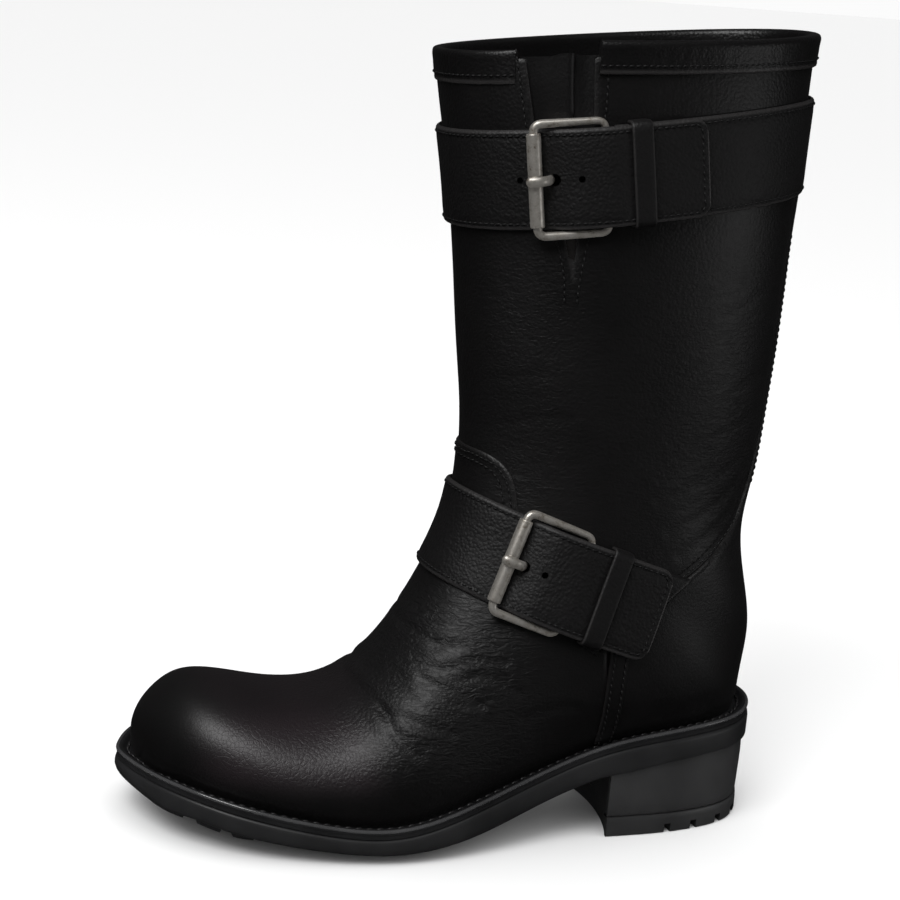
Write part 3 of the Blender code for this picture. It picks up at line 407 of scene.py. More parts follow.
# Meshes
def mesh_from(name, points, faces, layers=None):
    """Points in millimetres and faces as a mesh in metres, with number layers for its points."""
    mesh = bpy.data.meshes.new(name)
    counts = np.array([len(f) for f in faces], np.int32)
    flat = np.concatenate([np.asarray(f, np.int32) for f in faces])
    mesh.vertices.add(len(points))
    mesh.vertices.foreach_set("co", (np.asarray(points, float) / 1000).astype(np.float32).reshape(-1))
    mesh.loops.add(len(flat))
    mesh.loops.foreach_set("vertex_index", flat)
    mesh.polygons.add(len(counts))
    mesh.polygons.foreach_set("loop_start", np.r_[0, np.cumsum(counts)[:-1]].astype(np.int32))
    mesh.update(calc_edges=True)
    mesh.validate()
    for key, values in (layers or {}).items():
        layer = mesh.attributes.new(key, "FLOAT", "POINT")
        layer.data.foreach_set("value", np.asarray(values, np.float32).reshape(-1))
    mesh.shade_smooth()
    return mesh


def linked(name, data):
    made = bpy.data.objects.new(name, data)
    bpy.context.scene.collection.objects.link(made)
    return made


def add(name, mesh, material, nodes=(), sharp=None):
    """A mesh as a piece of the boot, in place of the named solids."""
    made = linked(name, mesh)
    mesh.materials.append(material)
    if sharp:
        mesh.set_sharp_from_angle(angle=math.radians(sharp))
    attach(made, "root")
    if nodes:
        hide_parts(*nodes)
    return made


def grid_faces(rows, columns, closed=False):
    i, j = np.meshgrid(np.arange(rows - 1), np.arange(columns if closed else columns - 1), indexing="ij")
    k = (j + 1) % columns
    a = i * columns + j
    b = i * columns + k
    c = (i + 1) * columns + k
    e = (i + 1) * columns + j
    return np.stack([a, b, c, e], -1).reshape(-1, 4)


def ring_faces(rows, columns, around=True, caps=(0, -1)):
    """Faces over rings of points, with one end face on each ring that caps names."""
    faces = [tuple(q) for q in grid_faces(rows, columns, around)]
    return faces + [tuple((cap % rows) * columns + k for k in range(columns)) for cap in caps]


def add_rings(name, rings, material, nodes=(), sharp=None, grain=0, edge=0, around=True, caps=(0, -1)):
    """A leather piece from rings of points, with its pebbles and its edges, lightened by wear and by a
    painted highlight.
    """
    rings = np.asarray(rings)
    rows, columns = rings.shape[:2]
    edge = np.broadcast_to(edge, (rows, columns)).reshape(-1)
    layers = {"edge": edge, "grain": np.full(rows * columns, grain)}
    faces = ring_faces(rows, columns, around, caps)
    return add(name, mesh_from(name, rings.reshape(-1, 3), faces, layers), material, nodes, sharp)


def clipped(us, fs, keep):
    """Grid of the skin cut where keep(points, f) passes below zero: u, f, faces and the border's edges.

    The point nearest to the cut on each crossing edge moves onto it, so the border is a clean line."""
    u, f = np.meshgrid(us, fs, indexing="ij")
    g = keep(skin(u, f)[0], f)
    moved_u = u.copy()
    moved_f = f.copy()
    best = np.full(u.shape, 9.0)
    for axis in (0, 1):
        a = (slice(0, -1), slice(None))[:: 1 - 2 * axis]
        b = (slice(1, None), slice(None))[:: 1 - 2 * axis]
        ga = g[a]
        gb = g[b]
        cross = (ga > 0) != (gb > 0)
        t = np.where(cross, ga / np.where(cross, ga - gb, 1), 0)
        at_u = u[a] + (u[b] - u[a]) * t
        at_f = f[a] + (f[b] - f[a]) * t
        for place, share in ((a, t), (b, 1 - t)):
            take = cross & (share <= 0.5) & (share < best[place])
            moved_u[place] = np.where(take, at_u, moved_u[place])
            moved_f[place] = np.where(take, at_f, moved_f[place])
            best[place] = np.where(take, share, best[place])
    on = best < 1
    good = (g > 0) | on
    quads = grid_faces(*u.shape)
    flags = good.reshape(-1)[quads]
    kept = flags.sum(1)
    faces = [tuple(q) for q in quads[kept == 4]]
    for q, ok in zip(quads[kept == 3], flags[kept == 3]):
        faces.append(tuple(q[ok]))
    used = np.unique(np.concatenate([np.asarray(x) for x in faces]))
    index = np.full(u.size, -1)
    index[used] = np.arange(len(used))
    faces = [tuple(index[list(x)]) for x in faces]
    seen = {}
    for x in faces:
        for a, b in zip(x, x[1:] + x[:1]):
            key = (min(a, b), max(a, b))
            seen[key] = None if key in seen else (a, b)
    border = [e for e in seen.values() if e]
    return moved_u.reshape(-1)[used], moved_f.reshape(-1)[used], faces, border


def panel(name, us, fs, keep, height, skirt, layers_for, material, slot, nodes=(), sharp=50):
    """A panel of leather on the skin with a turned-down edge."""
    u, f, faces, border = clipped(us, fs, keep)
    base, n = skin(u, f)
    g = np.maximum(keep(base, f), 0)
    off = height(base, f, g)
    top = base + n * off[:, None]
    rim = sorted({v for e in border for v in e})
    new = {v: len(top) + k for k, v in enumerate(rim)}
    points = np.r_[top, base[rim] + n[rim] * skirt]
    faces = faces + [(b, a, new[a], new[b]) for a, b in border]
    layers = {k: np.r_[v, v[rim]] for k, v in layers_for(base, g).items()}
    return add(name, mesh_from(name, points, faces, layers), material, nodes, sharp)


# Materials
def nodes_of(name):
    made = bpy.data.materials.new(name)
    made.use_nodes = True
    tree = made.node_tree
    return made, tree, tree.nodes["Principled BSDF"]


def link(tree, a, b):
    tree.links.new(a, b)


def node(tree, kind, **values):
    made = tree.nodes.new(kind)
    for key, value in values.items():
        if key in made.inputs:
            made.inputs[key].default_value = value
        else:
            setattr(made, key, value)
    return made


def math_node(tree, operation, a, b=None, clamp=False):
    made = tree.nodes.new("ShaderNodeMath")
    made.operation = operation
    made.use_clamp = clamp
    for k, value in enumerate((a, b)):
        if value is None:
            continue
        if isinstance(value, (int, float)):
            made.inputs[k].default_value = value
        else:
            link(tree, value, made.inputs[k])
    return made.outputs[0]


def ramp_node(tree, value, stops):
    made = tree.nodes.new("ShaderNodeValToRGB")
    made.color_ramp.elements[0].position = stops[0][0]
    made.color_ramp.elements[0].color = (*stops[0][1], 1)
    made.color_ramp.elements[1].position = stops[-1][0]
    made.color_ramp.elements[1].color = (*stops[-1][1], 1)
    for at, colour in stops[1:-1]:
        made.color_ramp.elements.new(at).color = (*colour, 1)
    link(tree, value, made.inputs[0])
    return made.outputs[0]


def product(tree, a, b, clamp=False):
    return math_node(tree, "MULTIPLY", a, b, clamp)


def total(tree, *terms):
    """Sum of numbers and of pairs that are multiplied first."""
    found = [product(tree, *term) if isinstance(term, tuple) else term for term in terms]
    result = found[0]
    for term in found[1:]:
        result = math_node(tree, "ADD", result, term)
    return result


def textured(tree, place, kind, **values):
    made = node(tree, "ShaderNodeTex" + kind, **values)
    link(tree, place, made.inputs["Vector"])
    return made


def scaled(tree, place, scale, turn=(0, 0, 0)):
    made = node(tree, "ShaderNodeMapping", Scale=scale, Rotation=turn)
    link(tree, place, made.inputs["Vector"])
    return made.outputs[0]


def bumped(tree, shader, height, strength, distance):
    bump = node(tree, "ShaderNodeBump", Strength=strength, Distance=distance)
    link(tree, height, bump.inputs["Height"])
    link(tree, bump.outputs["Normal"], shader.inputs["Normal"])


def tinted(tree, share, below, above):
    """A colour that passes to another where share rises."""
    made = node(tree, "ShaderNodeMix", data_type="RGBA")
    link(tree, share, made.inputs[0])
    link(tree, below, made.inputs[6])
    made.inputs[7].default_value = (*above, 1)
    return made.outputs[2]


# Painted highlight: a lighter purple colour laid on the toe, strongest low on the toe.
TOE_SHEEN_TINT = (0.0105, 0.0062, 0.0080)
# Edge colour: partly wear, partly a painted highlight along the edges.
WORN_AND_SHEEN_TINT = (0.030, 0.028, 0.028)


def leather(name, base, tint, rough, grain, cell, coat=0.25, fine=0.25):
    """Black grained leather. Four numbers on its points steer it: pebbles, wrinkles, toe cracks that also
    carry a painted purple highlight, and edges lightened by wear and by a painted highlight.
    """
    made, tree, shader = nodes_of(name)
    place = node(tree, "ShaderNodeTexCoord").outputs["Object"]
    layer = {}
    for key in ("grain", "flex", "crack_and_sheen", "edge"):
        layer[key] = node(tree, "ShaderNodeAttribute", attribute_name=key).outputs["Fac"]
    warp = textured(tree, place, "Noise", Scale=260.0, Detail=3.0)
    mixed = node(tree, "ShaderNodeMix", data_type="VECTOR")
    mixed.inputs[0].default_value = 0.0012
    link(tree, place, mixed.inputs[4])
    link(tree, warp.outputs["Color"], mixed.inputs[5])
    bent = mixed.outputs[1]
    pebble = textured(tree, bent, "Voronoi", Scale=1000.0 / cell, feature="SMOOTH_F1")
    pebble.inputs["Smoothness"].default_value = 0.35
    lines = textured(tree, bent, "Voronoi", Scale=1000.0 / (cell * 1.6), feature="DISTANCE_TO_EDGE")
    pore = textured(tree, place, "Noise", Scale=2600.0, Detail=4.0, Roughness=0.6).outputs["Fac"]
    level = scaled(tree, bent, (0.30, 0.30, 1.0), (0, 0.12, 0))
    folds = textured(tree, level, "Noise", Scale=560.0, Detail=4.0, Roughness=0.62, Distortion=0.9)
    folds.noise_type = "RIDGED_MULTIFRACTAL"
    folds.inputs["Gain"].default_value = 1.6
    folds.inputs["Offset"].default_value = 0.9
    broad = textured(tree, place, "Noise", Scale=22.0, Detail=5.0, Roughness=0.6).outputs["Fac"]
    height = total(
        tree,
        (product(tree, pebble.outputs["Distance"], -0.7), total(tree, layer["grain"], 0.05)),
        (pore, fine),
        (product(tree, folds.outputs["Fac"], layer["flex"]), -0.78),
        (product(tree, lines.outputs["Distance"], 9.0, True), product(tree, layer["crack_and_sheen"], 0.18)),
    )
    bumped(tree, shader, height, grain, 0.0006)
    shade = ramp_node(tree, broad, [(0.35, base), (0.75, tint)])
    # Painted highlight: the toe's lighter purple tint, following the toe-crack number.
    shade = tinted(tree, layer["crack_and_sheen"], shade, TOE_SHEEN_TINT)
    # Lighter grey along the edges: wear, and a painted highlight.
    link(tree, tinted(tree, layer["edge"], shade, WORN_AND_SHEEN_TINT), shader.inputs["Base Color"])
    roughness = total(tree, (pore, 0.16), (broad, 0.12), (layer["flex"], 0.10), rough - 0.14)
    link(tree, roughness, shader.inputs["Roughness"])
    shader.inputs["Coat Weight"].default_value = coat
    shader.inputs["Coat Roughness"].default_value = 0.38
    return made


def rubber(name, colour, rough, strength=0.15):
    made, tree, shader = nodes_of(name)
    place = node(tree, "ShaderNodeTexCoord").outputs["Object"]
    grit = textured(tree, place, "Noise", Scale=900.0, Detail=5.0, Roughness=0.65)
    broad = textured(tree, place, "Noise", Scale=35.0, Detail=4.0).outputs["Fac"]
    bumped(tree, shader, grit.outputs["Fac"], strength, 0.0004)
    light = tuple(min(1.0, c * 1.7 + 0.004) for c in colour)
    link(tree, ramp_node(tree, broad, [(0.3, colour), (0.8, light)]), shader.inputs["Base Color"])
    link(tree, total(tree, (broad, 0.2), rough - 0.1), shader.inputs["Roughness"])
    return made


def metal(name):
    """Worn nickel with a brown tarnish in patches."""
    made, tree, shader = nodes_of(name)
    place = node(tree, "ShaderNodeTexCoord").outputs["Object"]
    patch = textured(tree, place, "Noise", Scale=330.0, Detail=6.0, Roughness=0.7).outputs["Fac"]
    brushed = scaled(tree, place, (3000.0, 3000.0, 200.0))
    brush = textured(tree, brushed, "Noise", Scale=1.0, Detail=3.0).outputs["Fac"]
    tones = [(0.33, (0.22, 0.185, 0.145)), (0.43, (0.50, 0.47, 0.425)), (0.70, (0.66, 0.635, 0.59))]
    link(tree, ramp_node(tree, patch, tones), shader.inputs["Base Color"])
    shader.inputs["Metallic"].default_value = 0.84
    link(tree, total(tree, (brush, 0.22), (patch, -0.25), 0.40), shader.inputs["Roughness"])
    bumped(tree, shader, brush, 0.18, 0.0002)
    return made


BLACK = (0.0013, 0.0011, 0.0012)
WARM_BLACK = (0.0028, 0.0022, 0.0025)
UPPER_LEATHER = leather("upper_leather", BLACK, WARM_BLACK, 0.40, 0.50, 1.3)
PANEL_LEATHER = leather("counter_leather", BLACK, WARM_BLACK, 0.40, 0.4, 1.2)
STRAP_BLACK = (0.0016, 0.0013, 0.0015)
STRAP_TINT = (0.0030, 0.0024, 0.0027)
STRAP_LEATHER = leather("strap_leather", STRAP_BLACK, STRAP_TINT, 0.50, 0.70, 1.3, 0.10)
BAND_LEATHER = leather("band_leather", BLACK, WARM_BLACK, 0.36, 0.5, 1.2)
GUSSET_LEATHER = leather("gusset_leather", BLACK, WARM_BLACK, 0.42, 0.5, 1.2)
LINING = leather("lining_leather", (0.010, 0.008, 0.007), (0.016, 0.012, 0.010), 0.6, 0.3, 0.9, 0.0)
INSOLE_LEATHER = leather("insole_leather", (0.016, 0.012, 0.010), (0.025, 0.019, 0.016), 0.6, 0.3, 0.9, 0.0)
THREAD = leather("thread", (0.0028, 0.0026, 0.0028), (0.0046, 0.0042, 0.0045), 0.52, 0.2, 0.4, 0.0)
WELT_THREAD = leather("welt_thread", (0.010, 0.0095, 0.010), (0.018, 0.017, 0.018), 0.40, 0.2, 0.4, 0.0)
WELT_RUBBER = rubber("welt_rubber", (0.0060, 0.0060, 0.0065), 0.30)
SOLE_RUBBER = rubber("sole_rubber", (0.0085, 0.0085, 0.0090), 0.42)
HEEL_RUBBER = rubber("heel_rubber", (0.0180, 0.0180, 0.0184), 0.36)
METAL = metal("buckle_metal")


def d_and_z(points):
    return HEEL_X - points[..., 0], points[..., 2]


def dz(points):
    return np.stack(d_and_z(points), -1)


def over_bed(points, lift=0.0):
    """Height above the welt's groove."""
    d, z = d_and_z(points)
    return z - (welt_top(d.reshape(-1)).reshape(d.shape) - WELT_DIP + lift)


def region(edge):
    """A function that gives the distance of points inside an edge seen from the side."""
    return lambda points: edge_distance(dz(points).reshape(-1, 2), edge).reshape(points.shape[:-1])


def eased_edge(edge, sharp_ends):
    """An edge whose middle runs smoothly, between its box corners."""
    edge = np.asarray(edge, float)
    first, last = sharp_ends
    return np.r_[edge[:first], spaced(edge[first:last], 160), edge[last:]]


VAMP_LINE = eased_edge(VAMP_EDGE, (1, 11))
COUNTER_LINE = eased_edge(COUNTER_EDGE, (2, 15))


def grain_at(d, z):
    """Strength of the pebbles: strong over the flex of the vamp, faint at the toe and the counter."""
    flex = np.exp(-(((d - 158) / 42) ** 2)) * smooth((105 - z) / 40)
    shaft = 0.55 * smooth((z - 110) / 60)
    heel = 0.18 * smooth((90 - d) / 20) * smooth((140 - z) / 30)
    return np.clip(0.072 + flex + shaft + heel, 0, 1)


def base_layers(points, g):
    """Numbers that steer the leather: pebbles, edges lightened by wear and by a painted highlight, wrinkles,
    and the toe's fine cracks that also carry a painted purple highlight.
    """
    d, z = d_and_z(points)
    vamp = np.exp(-(((d - 143) / 34) ** 2)) * smooth((112 - z) / 24) * smooth((z - 26) / 16)
    ankle = smooth((70 - d) / 60) * np.exp(-(((z - 150) / 42) ** 2))
    high = 0.20 * smooth((z - 105) / 40) * (1 - smooth((z - 225) / 30))
    toe = smooth((d - 165) / 18) * smooth((246 - d) / 22) * smooth((z - 24) / 12)
    return {
        "grain": grain_at(d, z),
        # Lighter colour near a panel's border: partly wear, partly a painted highlight.
        "edge": 0.22 * (1 - smooth(g / 0.9)),
        "flex": np.clip(0.9 * vamp + 0.7 * ankle + high, 0, 1),
        # The toe's number carries its fine cracks and also a painted highlight, which is stronger on the
        # lower toe.
        "crack_and_sheen": toe * (0.35 + 0.65 * smooth((54 - z) / 8)),
    }


# Creases where the boot flexes, seen from the side: depth, half width, then d and z along each
CREASES = [
    (1.15, 1.9, [(175.9, 59.2), (168.8, 56.3), (165.6, 48.8), (157.0, 43.9)]),
    (0.85, 1.6, [(168.8, 56.3), (157.4, 54.7), (144.2, 51.0)]),
    (0.55, 1.3, [(163.8, 50.7), (156.7, 47.5), (146.3, 47.0)]),
    (0.90, 1.7, [(153.6, 68.9), (146.9, 67.3), (139.5, 65.3), (132.9, 61.4)]),
    (0.60, 1.4, [(154.1, 73.1), (148.2, 73.1), (141.7, 74.8)]),
    (0.65, 1.5, [(146.5, 71.3), (139.6, 70.4), (130.5, 73.1), (122.2, 71.7)]),
    (0.60, 1.6, [(148.4, 80.5), (143.5, 82.8), (138.0, 82.4)]),
    (0.60, 1.5, [(134.7, 72.1), (126.2, 69.9), (117.1, 65.7)]),
    (0.50, 1.3, [(144.0, 62.6), (137.8, 61.4), (129.8, 62.7)]),
    (0.55, 1.3, [(153.3, 65.1), (146.7, 64.0), (139.9, 60.9)]),
    (0.55, 1.5, [(137.6, 77.5), (130.6, 77.3), (122.1, 77.4)]),
    (0.45, 1.3, [(173.1, 59.7), (168.4, 60.1), (164.5, 59.5)]),
    (0.60, 1.6, [(156.4, 84.4), (150.4, 82.9), (142.3, 80.4)]),
    (0.45, 1.8, [(114.8, 55.1), (105.3, 58.8), (93.0, 59.1)]),
]
ANKLE_CREASES = [
    (0.55, 1.9, [(50, 118), (38, 124.5), (24, 133.5), (14, 145)]),
    (0.50, 1.7, [(56, 128), (40, 134), (26, 142.5), (15, 155)]),
    (0.45, 1.7, [(44, 145), (30, 151), (17, 160)]),
    (0.40, 1.6, [(62, 141), (50, 145), (38, 151.5)]),
    (0.40, 1.7, [(36, 166), (24, 170), (12, 178)]),
    (0.35, 1.6, [(30, 184), (20, 188), (10, 194)]),
    (0.35, 1.8, [(122, 168), (112, 172), (100, 173)]),
    (0.30, 1.7, [(128, 184), (118, 188), (106, 190)]),
    (0.30, 1.6, [(40, 214), (28, 218), (16, 226)]),
]


def creased(points, f, table):
    """Soft troughs with a low ridge on each side; the inner side has its own, a little moved."""
    flat = dz(points)
    flat = (flat + smooth(f / 0.16)[..., None] * (4.5, -2.5)).reshape(-1, 2)
    depths = np.zeros(len(flat))
    for depth, wide, line in table:
        curve = spaced(np.array(line, float), 14)
        low = curve.min(0) - 12
        high = curve.max(0) + 12
        near = ((flat > low) & (flat < high)).all(1)
        if not near.any():
            continue
        away = edge_distance(flat[near], curve, False)
        depths[near] -= 0.55 * depth * np.exp(-((away / wide) ** 2))
        depths[near] += 0.16 * depth * np.exp(-(((away - 2.3 * wide) / (1.25 * wide)) ** 2))
    return depths.reshape(f.shape)


# Shaft and what lies under the panels
def in_notch(points, f):
    return np.where(f < 0, region(NOTCH_EDGE)(points), -9)


def shaft_keep(points, f):
    top = collar_drop(*d_and_z(points)) - 3.0
    under_vamp = 6.0 - region(VAMP_LINE)(points)
    return np.minimum.reduce([under_vamp, -in_notch(points, f), top, over_bed(points, 0.3)])


def bumps(points, f):
    """Soft waves of the leather over the shaft and the vamp."""
    d, z = d_and_z(points)
    side = np.where(f < 0, 0.0, 2.1)
    low = 0.22 * np.sin(d / 17 + side) * np.sin(z / 23 + 1.3 + side)
    high = 0.05 * np.sin(d / 7 + z / 19 + side) * np.sin(z / 9 + 0.4)
    return (low + high) * smooth((z - 150) / 40) * smooth((300 - z) / 20)


def shaft_height(points, f, g):
    low = 0.7 * creased(points, f, ANKLE_CREASES) * smooth(g / 4.0)
    return bumps(points, f) + low - 0.5 * (1 - smooth(g / 1.2)) * (g < 1.2)


us = np.linspace(0.36, 0.985, 250)
fs = np.linspace(-1, 1, 271)
leathered = (base_layers, UPPER_LEATHER, "upper_leather")
panel("shaft_leather", us, fs, shaft_keep, shaft_height, -WALL, *leathered, ["upper"])


def vamp_keep(points, f):
    return np.minimum(region(VAMP_LINE)(points), over_bed(points, 0.1))


def edge_off(g, high):
    """Height of a panel near its edge: a rounded shoulder."""
    return high * (0.55 + 0.45 * np.sqrt(np.clip(1 - (1 - np.clip(g, 0, 1)) ** 2, 0, 1)))


def vamp_height(points, f, g):
    return edge_off(region(VAMP_LINE)(points), VAMP_STEP) + creased(points, f, CREASES) * smooth(g / 4.0)


us = np.linspace(0, 0.60, 300)
fs = np.linspace(-1, 1, 281)
panel("vamp_leather", us, fs, vamp_keep, vamp_height, -0.4, *leathered)


# Lining of the whole upper
def lining_keep(points, f):
    top = collar_drop(*d_and_z(points)) - 2.6
    return np.minimum.reduce([-in_notch(points, f), top, over_bed(points, 0.5)])


def lining_height(points, f, g):
    return np.full(f.shape, -WALL)


def lining_layers(points, g):
    return {"grain": np.full(g.shape, 0.3)}


us = np.linspace(0.01, 0.985, 150)
fs = np.linspace(-1, 1, 141)
lined = (lining_layers, LINING, "upper_leather")
panel("lining_leather", us, fs, lining_keep, lining_height, -WALL + 0.4, *lined, (), None)


# Heel counter and back stay
def counter_keep(points, f):
    inside = np.minimum(region(COUNTER_LINE)(points), over_bed(points, 0.1))
    return np.where(np.abs(f) < 0.36, -1.0, inside)


def counter_height(points, f, g):
    return edge_off(region(COUNTER_LINE)(points), COUNTER_STEP)


us = np.linspace(0.36, 0.93, 230)
fs = np.r_[np.linspace(-1, -0.35, 110), np.linspace(0.35, 1, 110)]
leathered = (base_layers, PANEL_LEATHER, "counter_leather")
panel("counter_panel", us, fs, counter_keep, counter_height, -0.3, *leathered, ["heel_counter"])


# Welt with its bead and groove
def sole_rings(count, profile):
    """Rings round the sole, from rows of inset and height above the welt's line."""
    rings = []
    for by, rise in profile:
        moved = inset(outline(count), by)
        rings.append(at_height(moved, welt_top(moved[:, 0]) + rise))
    return np.array(rings)


WELT_PROFILE = [
    (9.0, -3.8), (9.0, -1.3), (6.6, -1.5), (5.2, -1.7), (4.2, -1.6), (3.6, -1.1), (3.2, -0.55),
    (2.7, -0.15), (2.1, 0.05), (1.4, 0.0), (0.9, -0.25), (0.6, -0.7), (0.5, -1.3), (0.6, -1.9), (0.9, -2.3),
    (0.8, -2.8), (0.9, -3.8), (9.0, -3.8),
]
WELT_COUNT = 520
welt_rings = sole_rings(WELT_COUNT, WELT_PROFILE)
add_rings("welt_ring", welt_rings, WELT_RUBBER, ["welt"], 60, caps=())

# The welt's polished bead
BEAD = rubber("welt_bead", (0.030, 0.030, 0.031), 0.14, 0.04)
bead_shader = BEAD.node_tree.nodes["Principled BSDF"]
bead_shader.inputs["Coat Weight"].default_value = 1.0
bead_shader.inputs["Coat Roughness"].default_value = 0.10
turns = np.linspace(0, 2 * math.pi, 12, endpoint=False)
bead_profile = [(1.15 + 0.85 * math.cos(turn), 0.75 * math.sin(turn) - 0.62) for turn in turns]
rings = sole_rings(WELT_COUNT, bead_profile).reshape(-1, 3)
faces = grid_faces(13, WELT_COUNT, True) % len(rings)
add("welt_bead", mesh_from("welt_bead", rings, faces), BEAD)


# Outsole: rounded side, flat tread with lugs
def sole_ring_at(by, share, rise, count):
    """A ring of the outsole: inset, place between its lower edge and its top, and height over that."""
    edge = outline(count)
    ease = 0.25 + 0.75 * smooth((edge[:, 0] - 64) / 16) if share == 0 and by < 5 else np.ones(count)
    moved = inset(edge, by * ease)
    low = sole_low(moved[:, 0])
    high = welt_top(moved[:, 0]) - WELT_THICK - GAP
    return at_height(moved, low + (high - low) * share + rise * ease)


SOLE_PROFILE = [
    (8.0, 1, 0.0), (1.1, 1, 0.0), (0.6, 1, -0.25), (0.2, 1, -0.8), (0.0, 1, -1.8), (0.0, 0.5, 0.0),
    (0.15, 0, 2.8), (0.6, 0, 1.5), (1.3, 0, 0.6), (2.4, 0, 0.1), (3.6, 0, 0.0), (9.0, 0, 0.0),
]
SOLE_COUNT = 480
rings = np.array([sole_ring_at(by, share, rise, SOLE_COUNT) for by, share, rise in SOLE_PROFILE])
faces = ring_faces(len(rings), SOLE_COUNT, True, ())
last = (len(rings) - 1) * SOLE_COUNT
for j in range(SOLE_COUNT // 2):
    corners = (j, j + 1, (SOLE_COUNT - j - 1) % SOLE_COUNT, (SOLE_COUNT - j) % SOLE_COUNT)
    faces.append(tuple(last + k for k in dict.fromkeys(corners)))
sole_mesh = mesh_from("outsole", rings.reshape(-1, 3), faces)
add("outsole_rubber", sole_mesh, SOLE_RUBBER, ["outsole"], 40)


# Tread lugs under the sole
def lug(d0, d1, side):
    """A lug between two grooves, on one side of the middle groove."""
    edge = outline(600)
    edge = inset(edge, 8.5 + 3.5 * smooth((228 - edge[:, 0]) / 14))
    half = edge[edge[:, 1] < 0] if side < 0 else edge[edge[:, 1] > 0]
    order = np.argsort(half[:, 0])
    ds = np.linspace(d0, min(d1, half[:, 0].max() - 0.5), 7)
    out = np.interp(ds, half[order, 0], half[order, 1])
    mid = np.full(7, 2.4 * side)
    ring = np.r_[np.c_[ds, mid], np.c_[ds[::-1], out[::-1]]]
    centre = ring.mean(0)
    layers = []
    for share, low in ((1.0, None), (0.99, 1.3), (0.93, 0.0)):
        moved = centre + (ring - centre) * share
        base = sole_low(moved[:, 0])
        z = base + 1.0 if low is None else np.maximum(base - LUG_DEPTH, 0) + low
        layers.append(at_height(moved, z))
    return np.array(layers)


GROOVES = (133.0, 152.5, 165, 177.5, 190, 202.5, 215, 227.5, 240, 268)
points = []
faces = []
for a, b in zip(GROOVES[:-1], GROOVES[1:]):
    for side in (-1, 1):
        layers = lug(a + 2.1, b - 2.1, side)
        start = len(points)
        points += list(layers.reshape(-1, 3))
        faces += [tuple(start + k for k in face) for face in ring_faces(3, 14, True, (-1,))]
add("tread_lugs", mesh_from("tread_lugs", points, faces), SOLE_RUBBER, (), 35)


# Heel
def heel_outline(by, count=150, hollow=40):
    whole = inset(outline(1400), by)
    back = whole[:, 0].argmin()
    rolled = np.roll(whole, -back, 0)
    inside = rolled[:, 0] < HEEL_BREAST
    first = np.argmin(inside)
    second = len(rolled) - np.argmin(inside[::-1])
    side = np.r_[rolled[second:], rolled[:first]]
    t = run_of(side)
    ring = spline(t[::6], side[::6], np.linspace(0, t[-1], count))
    ring[0, 0] = HEEL_BREAST
    ring[-1, 0] = HEEL_BREAST
    centre = HEEL_BREAST - BREAST_HOLLOW + BREAST_RADIUS
    ys = np.linspace(ring[-1, 1], ring[0, 1], hollow + 2)[1:-1]
    ds = centre - np.sqrt(BREAST_RADIUS**2 - (ys + 1.0) ** 2)
    return np.r_[ring, np.c_[np.minimum(ds, HEEL_BREAST), ys]]


def heel_piece(name, layers, solid):
    """A layer of the heel from rows of inset and height; the first height None lies under the sole."""
    rings = []
    for by, z in layers:
        ring = heel_outline(by)
        rings.append(at_height(ring, sole_low(ring[:, 0]) - 0.1 if z is None else z))
    faces = ring_faces(len(rings), len(ring), True, (-1,))
    mesh = mesh_from(name, np.concatenate(rings), faces)
    return add(name, mesh, HEEL_RUBBER, [solid], 40)


# Rows of inset and height
STACK = [(1.7, None), (1.4, 28.5), (1.4, 26), (1.55, 20), (1.75, 14), (1.95, 9.6), (2.2, 8.9), (2.7, 8.45)]
LIFT = [(6, 8.35), (2.5, 8.35), (1.9, 8.15), (1.62, 7.6), (1.5, 6), (1.4, 1.3), (1.55, 0.5), (2.2, 0)]
heel_piece("heel_stack", STACK, "heel_block")
lift = heel_piece("heel_top_lift", LIFT, "heel_lift")


def cutter(target, mesh):
    """A closed mesh as a tool that is taken out of a piece."""
    tool = linked("cutter", mesh)
    step = target.modifiers.new("cut", "BOOLEAN")
    step.operation = "DIFFERENCE"
    step.solver = "EXACT"
    step.object = tool
    return tool


def box_cut(target, low, high):
    """Takes a box, given by two corners, out of a piece."""
    points = [(x, y, z) for x in (low[0], high[0]) for y in (low[1], high[1]) for z in (low[2], high[2])]
    faces = [(0, 1, 3, 2), (4, 6, 7, 5), (0, 4, 5, 1), (2, 3, 7, 6), (0, 2, 6, 4), (1, 5, 7, 3)]
    return cutter(target, mesh_from("box", points, faces))


def settle(target, tools):
    bpy.context.view_layer.update()
    done = bpy.data.meshes.new_from_object(target.evaluated_get(bpy.context.evaluated_depsgraph_get()))
    target.modifiers.clear()
    target.data = done
    for tool in tools:
        bpy.data.objects.remove(tool)


tools = []
for d in (9.3, 19.6, 32.7, 45.3):
    x = HEEL_X - d
    for y0, y1 in ((-60, -16), (16, 60)):
        tools.append(box_cut(lift, (x - 1.5, y0, -4), (x + 1.5, y1, 3.9)))
settle(lift, tools)
lift.data.shade_smooth()
lift.data.set_sharp_from_angle(angle=math.radians(35))


# Straps
def path_on(measure, level, fs, lowest):
    us = u_at(fs, measure, level, lowest)
    return skin(us, fs)[0]


def frames(path, runs):
    """Points, directions along and across the path, and normals, at these runs from its start."""
    t = run_of(path)
    runs = np.atleast_1d(np.asarray(runs, float))
    c = np.stack([np.interp(runs, t, path[:, k]) for k in range(3)], -1)
    a = np.stack([np.interp(runs + 3.0, t, path[:, k]) for k in range(3)], -1)
    b = np.stack([np.interp(runs - 3.0, t, path[:, k]) for k in range(3)], -1)
    us, fs = snap(c)
    n = skin(us, fs)[1]
    along = a - b
    along -= (along * n).sum(1)[:, None] * n
    along /= np.linalg.norm(along, axis=1)[:, None]
    across = np.cross(n, along)
    across *= np.sign(across[:, 2].sum())
    return c, along, across, n


RAMP_EASE = 3.0


